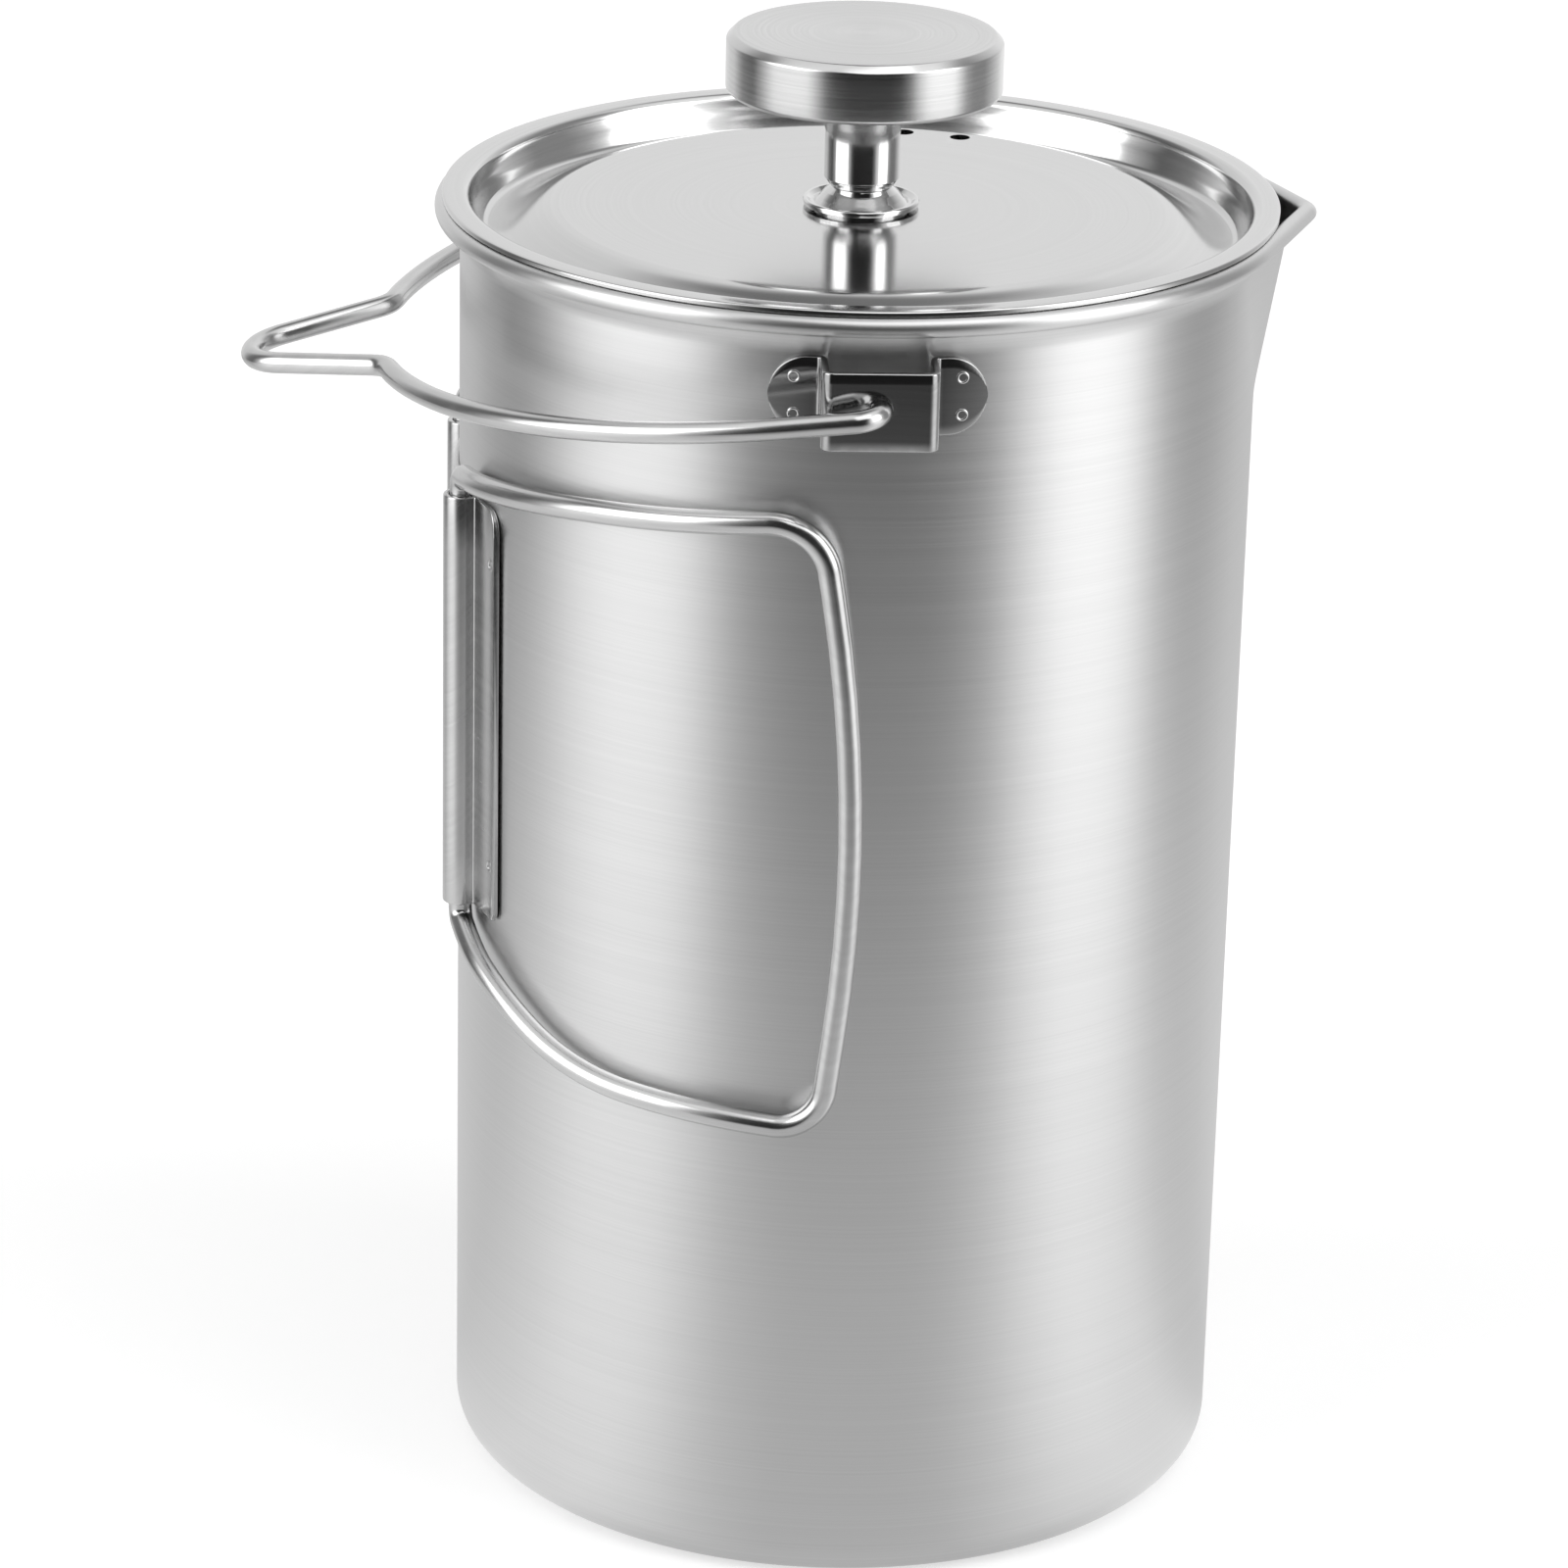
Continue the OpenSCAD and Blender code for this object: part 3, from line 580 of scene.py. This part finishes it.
def makeBracket(name, node, side):  # a box of bent sheet between two wings that lie on the wall
    low, high = span(node)
    sheet = bracket["sheet"]
    ring = wallRadius + sheet / 2
    tall = (high.z - low.z) / 2
    face = max(abs(low.y), abs(high.y)) - sheet / 2
    wing = high.x
    x = bracket["boxWidth"] / 2 - sheet / 2
    start = x + bracket["footBend"] + 0.2
    flange = {round(start + (wing - start) * cos(pi / 2 * k / 14), 4) for k in range(15)}
    corners = [(-a, -sqrt(ring ** 2 - a ** 2), 0) for a in sorted(flange, reverse=True)]
    corners += [(-x, -sqrt(ring ** 2 - x ** 2), bracket["footBend"]),
                (-x, -face, bracket["outerBend"] - sheet / 2)]
    corners += [(-a, b, r) for a, b, r in reversed(corners)]
    plan = resampled(rounded(corners, 12), 1.2)
    if side > 0:
        plan = [(-a, -b) for a, b in plan]
    middle = (low.z + high.z) / 2

    def halfHeight(distance):
        return sqrt(max(0.16, tall ** 2 - max(0, tall - distance) ** 2))

    piece = ribbon(name, plan, sheet, middle, halfHeight)
    return drilled(piece, (0, 1, 0), (0, side * face, middle + bracket["pinRise"]), bracket["pinHole"], 4)


weld = {"ring": 0.62, "ridge": 0.16, "sink": 0.02}


def makeWelds(name, angles, heights, skin):  # a weld at each angle and height, on a skin of that radius
    data = bpy.data.meshes.new(name)
    spots = [(radians(a), z) for a in angles for z in heights]
    data.from_pydata([Vector((skin * cos(a), skin * sin(a), z)) * mm for a, z in spots], [], [])
    values = {"Ring Radius": weld["ring"] * mm, "Ridge": weld["ridge"] * mm, "Material": steel["wireSteel"]}
    return grown(linked(name, data), weldTree, values, name)


for name, node, side in (("frontBracket", "bail_bracket_front", -1), ("rearBracket", "bail_bracket_rear", 1)):
    placed(makeBracket(name, node, side), "bracketSteel", "pot", "bracket_steel", node)
    centre = (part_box(node)[0].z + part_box(node)[1].z) / 2 / mm
    angles = [side * 90 + a * bracket["weldAngle"] for a in (-1, 1)]
    heights = [centre + b * bracket["weldRise"] for b in (-1, 1)]
    welds = makeWelds(name + "Welds", angles, heights, wallRadius + bracket["sheet"] - weld["sink"])
    placed(welds, "wireSteel", "pot", "bracket_steel")
print("bail brackets made, wall radius", round(wallRadius, 3))

hinge = {"sheet": 0.69, "half": 27.2, "cornerTop": 3, "cornerLow": 1, "channel": 2.25,
         "foot": 0.6, "spring": 0.3, "weldAngle": 25.6, "weldInset": 7.2}
plateLow, plateHigh = span("handle_hinge_plate")
pinX, pinY = pivot("handle_front")[:2]
pinRadius = sqrt(pinX ** 2 + pinY ** 2) / mm
pinAngle = atan(abs(pinY / pinX))


def makeHingePlate():  # a curved plate with a rolled channel round each side handle's wire
    sheet = hinge["sheet"]
    ring = wallRadius + sheet / 2
    centre = pinRadius - ring  # the channel's centre above the plate's middle surface
    bend = hinge["channel"] - sheet / 2
    foot = hinge["foot"]
    reach = sqrt((bend + foot) ** 2 - (centre - foot) ** 2)
    lean = acos((centre - foot) / (bend + foot))
    bump = [(-reach + foot * sin(lean * k / 6), foot - foot * cos(lean * k / 6)) for k in range(7)]
    bump += [(bend * sin(t), centre + bend * cos(t))
             for t in [-(pi - lean) + 2 * (pi - lean) * k / 28 for k in range(1, 28)]]
    bump += [(reach - foot * sin(lean * k / 6), foot - foot * cos(lean * k / 6)) for k in reversed(range(7))]
    edge = radians(hinge["half"])
    at = pinAngle
    gap = reach / ring
    spread = [(-edge + (edge - at - gap) * k / 14, hinge["spring"] * max(0, 1 - k / 5) ** 2)
              for k in range(14)]
    half = spread + [(-at + s / ring, n) for s, n in bump]
    between = [((-at + gap) + 2 * (at - gap) * k / 16, 0) for k in range(1, 16)]
    whole = half + between + [(-a, n) for a, n in reversed(half)]
    plan = [(-(ring + n) * cos(a), (ring + n) * sin(a)) for a, n in whole]
    low, high = plateLow.z, plateHigh.z

    def cornerReach(radius):
        return lambda distance: (high - low) / 2 - radius + sqrt(radius ** 2 - max(0, radius - distance) ** 2)

    up = cornerReach(hinge["cornerTop"])
    down = cornerReach(hinge["cornerLow"])
    return ribbon("hingePlate", list(reversed(plan)), sheet, (low + high) / 2, up, down)


placed(makeHingePlate(), "hingeSteel", "pot", "bracket_steel", "handle_hinge_plate")
angles = [180 + a * hinge["weldAngle"] for a in (-1, 1)]
heights = [plateLow.z + hinge["weldInset"], plateHigh.z - hinge["weldInset"]]
welds = makeWelds("hingeWelds", angles, heights, wallRadius + hinge["sheet"] - weld["sink"])
placed(welds, "wireSteel", "pot", "bracket_steel")
print("hinge plate made")

bail = {"wire": 1.335, "droop": 8.5, "radius": 60.2, "centre": 0.8, "pinInside": 54.2, "pinBend": 3,
        "corner": 61.2, "first": 79, "notchHalf": 13.2, "notchAngle": 27.5, "notchBend": 4, "reach": 76.8}
pivotZ = pivot("bail")[2] / mm


def makeBail():  # wire drawn flat as one half and its mirror, then tilted down from the pins
    half = [(0, bail["pinInside"], 0), (0, bail["corner"], bail["pinBend"])]
    half += [(x, y, 0) for x, y in arcPoints(bail["centre"], 0, bail["radius"], bail["first"], 17, 30)]
    u = bail["centre"] + sqrt(bail["radius"] ** 2 - bail["notchHalf"] ** 2)
    half += [(u, bail["notchHalf"], bail["notchBend"])]
    slope = radians(bail["notchAngle"])
    apex = u + bail["notchHalf"] / tan(slope)
    nose = (apex - bail["reach"]) / (1 / sin(slope) - 1)
    plan = rounded(half + [(apex, 0, nose)] + [(a, -b, r) for a, b, r in reversed(half)], 6)
    droop = radians(bail["droop"])
    path = [(-u * cos(droop), y, pivotZ - u * sin(droop)) for u, y in resampled(plan, 2.5)]
    host = lineHost("bailPath", path)
    values = {"Wire Radius": bail["wire"] * mm, "Sides": 20, "Material": steel["wireSteel"]}
    return grown(host, wireTree, values, "bailWire")


placed(makeBail(), "wireSteel", "bail", "wire_steel", "bail_handle")

handle = {"wire": 1.485, "standOff": 2.3, "lead": 8, "reach": 66.6, "below": 2.2, "above": 2.4}


def makeSideHandle(name, side):  # wire loop drawn flat, then laid round the wall from its channel
    bottom = plateLow.z - handle["below"]
    top = plateHigh.z + handle["above"]
    reach = handle["reach"]
    outline = [(0, bottom + 4.2, 0), (0, bottom, 2), (28, bottom - 11.2, 55), (reach - 5, bottom - 13.2, 6),
               (reach, top - 31.4, 200), (reach - 6.3, top + 6.6, 7), (30, top + 3.8, 200), (0, top, 2),
               (0, top - 4.4, 0)]
    ring = wallRadius + handle["standOff"]
    shift = ring - pinRadius
    path = []
    plan = rounded(outline, 2)
    middle = (bottom + top) / 2
    whole = [(0, middle)] + plan[1:-1] + [(0, middle)]
    for s, z in resampled(whole, 2):
        angle = pi - pinAngle - s / ring
        r = ring - shift * max(0, 1 - s / handle["lead"])
        path.append((r * cos(angle), side * r * sin(angle), z))
    host = lineHost(name + "Path", path)
    values = {"Wire Radius": handle["wire"] * mm, "Sides": 20, "Material": steel["wireSteel"]}
    return grown(host, wireTree, values, name)


placed(makeSideHandle("frontHandle", -1), "wireSteel", "handle_front", "wire_steel", "side_handle_front")
placed(makeSideHandle("rearHandle", 1), "wireSteel", "handle_rear", "wire_steel", "side_handle_rear")
print("wires made")

lid = {"sheet": 0.7, "grooveDepth": 5, "floorRise": 3.2, "floorRadius": 37.6, "grooveRadius": 46.4, "bore": 4,
       "wallTop": 49, "ventRadius": 1.3, "ventRing": 36, "ventFirst": 66.5, "ventStep": 12}
lidHigh = span("lid_shell")[1]
padZ = lidHigh.z - lid["grooveDepth"] + lid["floorRise"]


def lidFace(drop):  # flat raised floor, slope and groove
    points = [(lid["bore"], padZ - drop), (7.5, padZ - drop), (lid["floorRadius"] - 1, padZ - drop)]
    for k in range(25):
        t = k / 24
        r = lid["floorRadius"] + (lid["grooveRadius"] - lid["floorRadius"]) * t
        points.append((r, padZ - drop - lid["floorRise"] * t * t * (3 - 2 * t)))
    grooveZ = lidHigh.z - lid["grooveDepth"]
    return points + arcPoints(lid["grooveRadius"], grooveZ + 1.2 - drop, 1.2, -80, -25, 5)


def makeLid():  # pressed shell with its flange, then the vents
    low = lid["grooveRadius"] + 1.3
    top = lidHigh.z
    dishZ = top - lid["grooveDepth"]
    wall = lid["wallTop"]
    flange = top - lid["sheet"]
    outline = lidFace(0) + [(low, dishZ + 1.6), (low + 0.5, dishZ + 2.65), (wall - 0.3, top - 1.3)]
    outline += arcPoints(wall + 0.9, top - 1.2, 1.2, 170, 90, 8)
    outline += [(wall + 2, top)]
    outline += arcPoints(lidHigh.x - 0.3, top - 0.3, 0.3, 90, 0, 4)
    outline += [(lidHigh.x, flange + 0.1), (lidHigh.x - 0.1, flange), (wall + 1.1, flange),
                (wall + 0.6, flange - 0.5)]
    outline += [(low + 0.8, dishZ + 1.2)] + list(reversed(lidFace(lid["sheet"])))
    shell = turned("lidBlank", outline, 192)
    values = {"Count": 3, "Ring Radius": lid["ventRing"] * mm, "Hole Radius": lid["ventRadius"] * mm,
              "First Angle": radians(lid["ventFirst"]), "Step Angle": radians(lid["ventStep"]),
              "Height": padZ * mm, "Depth": 0.02, "Material": steel["lidSteel"]}
    return grown(shell, holeTree, values, "lidShell", 30)


placed(makeLid(), "lidSteel", "lid", "lid_steel", "lid_shell")

guide = {"shank": 4, "foot": 7.3, "lip": 0.5, "gap": 0.35, "cone": ((5.3, 1.2), (4.6, 2.0))}
rodLow, rodHigh = span("plunger_rod")
rodRadius = rodHigh.x


def makeGuide():  # turned cone on a rimmed foot, with a shank that goes through the lid
    low, high = span("rod_guide")
    bore = rodRadius + 0.1
    foot = guide["foot"]
    ledge = padZ + 0.6
    corners = [(bore, low.z, 0), (guide["shank"] - 0.2, low.z, 0), (guide["shank"], low.z + 0.2, 0),
               (guide["shank"], padZ, 0), (foot - 1.3, padZ, 0), (foot - 1.3, padZ + guide["gap"], 0),
               (foot - 0.1, padZ + guide["gap"], 0.05), (foot, ledge + guide["lip"] - 0.2, 0.12),
               (foot - 0.15, ledge + guide["lip"], 0.1), (foot - 0.5, ledge + guide["lip"], 0.1),
               (foot - 1, ledge, 0.15), (5.9, ledge, 0.2)]
    corners += [(r, padZ + z, 0.9) for r, z in guide["cone"]]
    corners += [(3.95, high.z - 0.15, 0.1), (3.8, high.z, 0.1), (bore + 0.2, high.z, 0),
                (bore, high.z - 0.2, 0)]
    return turned("rodGuide", rounded(corners, 12), 96)


def makeWasher(name, node, bore, edge):
    low, high = span(node)
    r = high.x
    corners = [(bore, low.z), (r - edge, low.z), (r, low.z + edge), (r, high.z - edge), (r - edge, high.z),
               (bore, high.z)]
    return turned(name, corners, 72)


def makeHexPiece(name, node, bore):  # hexagon whose corners are turned off at both ends
    low, high = span(node)
    flats = high.y * 2
    chamfer = 0.4
    rows = [(bore, low.z), (flats / 2 - 0.2, low.z), (flats / sqrt(3) - 0.05, low.z + chamfer),
            (flats / sqrt(3), high.z - chamfer), (flats / 2 - 0.2, high.z), (bore, high.z)]

    def reach(angle, radius, z):
        if radius <= bore:
            return 0
        flat = flats / 2 / cos(angle % (pi / 3) - pi / 6)
        return min(radius, flat) - radius

    return turned(name, rows, 144, reach=reach)


placed(makeGuide(), "brightSteel", "lid", "bright_steel", "rod_guide")
washer = makeWasher("guideWasher", "guide_washer", guide["shank"], 0.15)
placed(washer, "filterSteel", "lid", "lid_steel", "guide_washer")
nut = makeHexPiece("guideNut", "guide_nut", guide["shank"])
placed(nut, "filterSteel", "lid", "lid_steel", "guide_nut")
print("lid made")

knob = {"bevel": 0.9, "underBevel": 0.5, "boreDepth": 5}


def makeKnob():  # solid disc with a blind bore for the rod
    low, high = span("knob")
    r = high.x
    bevel = knob["bevel"]
    under = knob["underBevel"]
    bore = low.z + knob["boreDepth"]
    corners = [(0, bore, 0), (rodRadius, bore, 0), (rodRadius, low.z, 0), (r - 0.9, low.z, 0),
               (r - under + 0.1, low.z, 0.3), (r, low.z + under, 0.3), (r, high.z - bevel, 0.5),
               (r - bevel, high.z, 0.5), (r - 2.4, high.z, 0), (r * 0.6, high.z, 0), (r * 0.3, high.z, 0),
               (0, high.z, 0)]
    return turned("knob", rounded(corners, 10), 160, loop=False)


def makeNeck():
    low, high = span("knob_neck")
    r = high.x
    corners = [(rodRadius, low.z, 0), (3.9, low.z, 0), (3.95, low.z + 0.1, 0), (r, low.z + 1.05, 0.25),
               (r, high.z, 0), (rodRadius, high.z, 0)]
    return turned("knobNeck", rounded(corners, 12), 96)


def makeRod():
    edge = 0.3
    points = [(0, rodLow.z), (rodRadius - edge, rodLow.z), (rodRadius, rodLow.z + edge),
              (rodRadius, rodHigh.z - edge), (rodRadius - edge, rodHigh.z), (0, rodHigh.z)]
    return turned("plungerRod", points, 64, loop=False)


placed(makeKnob(), "knobSteel", "plunger", "knob_steel", "knob")
placed(makeNeck(), "brightSteel", "plunger", "bright_steel", "knob_neck")
placed(makeRod(), "brightSteel", "plunger", "bright_steel", "plunger_rod")
print("knob and rod made")

# each plate's rings of holes are (count, ring radius, hole radius), from the middle outwards
pack = {"springPlate": ((8, 13, 2.5), (14, 23, 2.5), (20, 33, 2.5)), "crossPlate": ((6, 15, 4), (10, 32, 7)),
        "screenSheet": 0.4, "screenCurl": 3, "plateSheet": 0.8, "coils": 132, "springWire": 0.34}


def pierced(blank, rings, height, name, finish):  # a plate with its rings of holes cut one by one
    for number, (count, ring, radius) in enumerate(rings):
        label = name if number == len(rings) - 1 else name + "Part" + str(number)
        values = {"Count": count, "Ring Radius": ring * mm, "Hole Radius": radius * mm,
                  "First Angle": 0.0, "Step Angle": 2 * pi / count, "Height": height * mm, "Depth": 0.004,
                  "Material": steel[finish]}
        blank = grown(blank, holeTree, values, label, 30)
    return blank


def makeSpringPlate():
    low, high = span("spring_plate")
    r = high.x
    t = pack["plateSheet"]
    corners = [(rodRadius, low.z, 0), (r - 3, low.z, 0), (r - 2.2, low.z, 0.9), (r, low.z + 2.4, 0.9),
               (r, high.z - 0.1, 0), (r - 0.1, high.z, 0), (r - t, high.z, 0), (r - t, low.z + 3.1, 0.5),
               (r - 3.1, low.z + t, 0.5), (rodRadius, low.z + t, 0)]
    blank = turned("springBlank", rounded(corners, 15), 144)
    return pierced(blank, pack["springPlate"], low.z, "springPlate", "filterSteel")


def makeScreen():  # shallow tray whose rim curls up
    low, high = span("filter_screen")
    r = high.x
    t = pack["screenSheet"]
    curl = pack["screenCurl"]
    outline = [(rodRadius, low.z), (r * 0.5, low.z)] + arcPoints(r - curl, low.z + curl, curl, -90, 0, 10)
    outline += [(r, high.z - 0.1), (r - 0.1, high.z), (r - t, high.z)]
    outline += arcPoints(r - curl, low.z + curl, curl - t, 0, -90, 10)
    outline += [(r * 0.5, low.z + t), (rodRadius, low.z + t)]
    return turned("filterScreen", outline, 144)


def makeCrossPlate():
    low, high = span("cross_plate")
    r = high.x
    corners = [(rodRadius, low.z, 0), (r * 0.5, low.z, 0), (r - 0.3, low.z, 0), (r, low.z + 0.3, 0.2),
               (r, high.z - 0.3, 0.2), (r - 0.3, high.z, 0), (r * 0.5, high.z, 0), (rodRadius, high.z, 0)]
    blank = turned("crossBlank", rounded(corners, 20), 144)
    return pierced(blank, pack["crossPlate"], low.z, "crossPlate", "filterSteel")


def makeEdgeSpring():  # the host only carries the tree
    low, high = span("edge_spring")
    coil = (high.z - low.z) / 2
    host = lineHost("springHost", [(0, 0, 0), (1, 0, 0)])
    values = {"Ring Radius": (high.x - coil) * mm, "Coil Radius": (coil - pack["springWire"]) * mm,
              "Wire Radius": pack["springWire"] * mm, "Coils": pack["coils"], "Height": (low.z + coil) * mm,
              "Material": steel["wireSteel"]}
    return grown(host, helixTree, values, "edgeSpring")


placed(makeSpringPlate(), "filterSteel", "plunger", "filter_steel", "spring_plate")
placed(makeScreen(), "screenSteel", "plunger", "screen_steel", "filter_screen")
placed(makeCrossPlate(), "filterSteel", "plunger", "filter_steel", "cross_plate")
placed(makeEdgeSpring(), "wireSteel", "plunger", "wire_steel", "edge_spring")
collar = makeWasher("rodCollar", "rod_collar", rodRadius, 0.4)
placed(collar, "filterSteel", "plunger", "filter_steel", "rod_collar")
hub = makeHexPiece("crossHub", "cross_hub", rodRadius)
placed(hub, "filterSteel", "plunger", "filter_steel", "cross_hub")
print("filter pack made")

# how bright the room is by compass direction, in degrees from the pouring lip: low down, high up, and on the
# tabletop where the steel mirrors it; near and far are where the floor's blends begin and end in metres, high
# is where the sky's does, as the height of a direction of length one
room = {"low": ((-180, 0.75), (-172, 1.15), (-140, 1.2), (-132, 0.7), (-124, 0.12), (-116, 0.02), (-62, 0.02),
                (-54, 0.25), (-46, 1.0), (-38, 1.4), (-14, 1.4), (0, 0.45), (8, 0.3), (24, 0.3), (38, 0.6),
                (60, 1.0), (110, 0.85), (131, 0.8), (148, 0.25), (164, 0.12), (172, 0.4), (180, 0.75)),
        "high": ((-180, 0.9), (-150, 1.1), (-110, 0.7), (-70, 0.7), (-40, 1.1), (0, 1.1), (40, 0.9),
                 (66, 0.25), (112, 0.2), (140, 0.8), (180, 0.9)),
        "table": ((-180, 0.9), (-160, 1.25), (-140, 1.1), (-120, 0.4), (-104, 0.14), (-72, 0.12), (-56, 0.4),
                  (-44, 0.9), (-32, 1.4), (-12, 1.4), (2, 0.7), (15, 0.5), (40, 0.7), (80, 0.6), (130, 0.6),
                  (160, 0.45), (180, 0.9)),
        "nearBlend": (0.16, 0.5), "farBlend": (0.52, 0.66), "highBlend": (0.64, 0.86),
        "floorTone": 0.6, "floorGlow": 0.5, "nearFloor": 0.85, "nearShare": 0.3, "plain": 1.0}


def roomLevels(tree, place, levels):
    parts = add(tree, "ShaderNodeSeparateXYZ", i0=place)
    angle = maths(tree, "ARCTAN2", parts.outputs[1], parts.outputs[0])
    ramp = add(tree, "ShaderNodeValToRGB", i0=ranged(tree, angle, -pi, pi))
    stops = ramp.color_ramp.elements
    while len(stops) < len(levels):
        stops.new(0.5)
    for stop, (degree, level) in zip(stops, levels):
        stop.position = (degree + 180) / 360
    for stop, (degree, level) in zip(stops, levels):
        stop.color = (level, level, level, 1)
    return ramp.outputs[0]


def blended(tree, share, first, second):
    blend = add(tree, "ShaderNodeMix", {"data_type": "RGBA"})
    tree.links.new(share, blend.inputs["Factor"])
    for index, value in ((6, first), (7, second)):
        if isinstance(value, bpy.types.NodeSocket):
            tree.links.new(value, blend.inputs[index])
        else:
            blend.inputs[index].default_value = (value, value, value, 1)
    return blend.outputs[2]


def makeRoom():
    world = bpy.data.worlds.new("room")
    scene.world = world
    world.use_nodes = True
    tree = world.node_tree
    tree.nodes.clear()
    toward = add(tree, "ShaderNodeTexCoord").outputs["Generated"]
    rise = add(tree, "ShaderNodeSeparateXYZ", i0=toward).outputs[2]
    above = ranged(tree, rise, *room["highBlend"], curve="SMOOTHSTEP")
    levels = blended(tree, above, roomLevels(tree, toward, room["low"]),
                     roomLevels(tree, toward, room["high"]))
    sky = add(tree, "ShaderNodeBackground", i0=levels)
    plain = add(tree, "ShaderNodeBackground", i0=(room["plain"],) * 3 + (1,))
    seen = add(tree, "ShaderNodeLightPath").outputs["Is Camera Ray"]
    mix = add(tree, "ShaderNodeMixShader", i0=seen, i1=sky.outputs[0], i2=plain.outputs[0])
    add(tree, "ShaderNodeOutputWorld", i0=mix.outputs[0])


def makeFloor():
    data = bpy.data.meshes.new("floor")
    size = 30
    corners = [(-size, -size, 0), (size, -size, 0), (size, size, 0), (-size, size, 0)]
    data.from_pydata(corners, [], [(0, 1, 2, 3)])
    floor = linked("floor", data)
    paper, tree = newFinish("floorPaper")
    tone = room["floorTone"]
    paint = add(tree, "ShaderNodeBsdfDiffuse", Color=(tone, tone, tone, 1))
    lift = add(tree, "ShaderNodeEmission", Strength=room["floorGlow"])
    matt = add(tree, "ShaderNodeAddShader", i0=paint.outputs[0], i1=lift.outputs[0])
    place = add(tree, "ShaderNodeTexCoord").outputs["Object"]
    distance = add(tree, "ShaderNodeVectorMath", {"operation": "LENGTH"}, i0=place).outputs["Value"]
    near = ranged(tree, distance, *room["nearBlend"], room["nearShare"], curve="SMOOTHSTEP")
    far = ranged(tree, distance, *room["farBlend"], curve="SMOOTHSTEP")
    # to glossy rays the floor glows with these levels instead of its matt paint: a painted reflection of the
    # room and tabletop that the steel mirrors
    table = blended(tree, near, room["nearFloor"], roomLevels(tree, place, room["table"]))
    levels = blended(tree, far, table, roomLevels(tree, place, room["low"]))
    glow = add(tree, "ShaderNodeEmission", i0=levels)
    seen = add(tree, "ShaderNodeLightPath").outputs["Is Glossy Ray"]
    mix = add(tree, "ShaderNodeMixShader", i0=seen, i1=matt.outputs[0], i2=glow.outputs[0])
    add(tree, "ShaderNodeOutputMaterial", i0=mix.outputs[0])
    data.materials.append(paper)


lamps = {  # places and sizes in metres, angles in degrees from the pouring lip
    "leftBox": {"angle": -158, "distance": 3.9, "height": 1.65, "wide": 3.3, "tall": 3.9, "level": 1.4},
    "rightBox": {"angle": -24, "distance": 3.9, "height": 1.5, "wide": 2.25, "tall": 3.9, "level": 1.5},
    "topBox": {"angle": -70, "distance": 2.7, "height": 4.5, "wide": 3.6, "tall": 3.6, "level": 1.15},
}


def makeLamp(name, look):
    lamp = bpy.data.lights.new(name, "AREA")
    lamp.shape = "RECTANGLE"
    lamp.size = look["wide"]
    lamp.size_y = look["tall"]
    lamp.energy = look["level"] * pi * look["wide"] * look["tall"]
    holder = linked(name, lamp)
    a = radians(look["angle"])
    holder.location = (look["distance"] * cos(a), look["distance"] * sin(a), look["height"])
    aim = Vector((0, 0, 0.1)) - holder.location
    holder.rotation_mode = "QUATERNION"
    holder.rotation_quaternion = aim.to_track_quat("-Z", "Y")


# place in metres, lens in mm, and heading, pitch and roll in degrees, with heading 0 along +y
eye = {"place": (-0.03903, -0.74482, 0.37569), "heading": 2.39, "pitch": -21.05, "roll": 1.31, "lens": 142}


def makeCamera():
    camera = bpy.data.cameras.new("camera")
    camera.lens = eye["lens"]
    camera.sensor_width = 36
    camera.clip_start = 0.01
    camera.clip_end = 100
    holder = linked("camera", camera)
    h, p, r = radians(eye["heading"]), radians(eye["pitch"]), radians(eye["roll"])
    forward = Vector((sin(h) * cos(p), cos(h) * cos(p), sin(p)))
    right = Vector((cos(h), -sin(h), 0))
    up = right.cross(forward)
    x = right * cos(r) + up * sin(r)
    y = up * cos(r) - right * sin(r)
    turn = Matrix((x, y, -forward)).transposed().to_4x4()
    holder.matrix_world = Matrix.Translation(eye["place"]) @ turn
    scene.camera = holder


makeRoom()
makeFloor()
for name, look in lamps.items():
    makeLamp(name, look)
makeCamera()
scene.view_settings.view_transform = "Standard"
print("room, lamps and camera made")

bpy.context.view_layer.update()
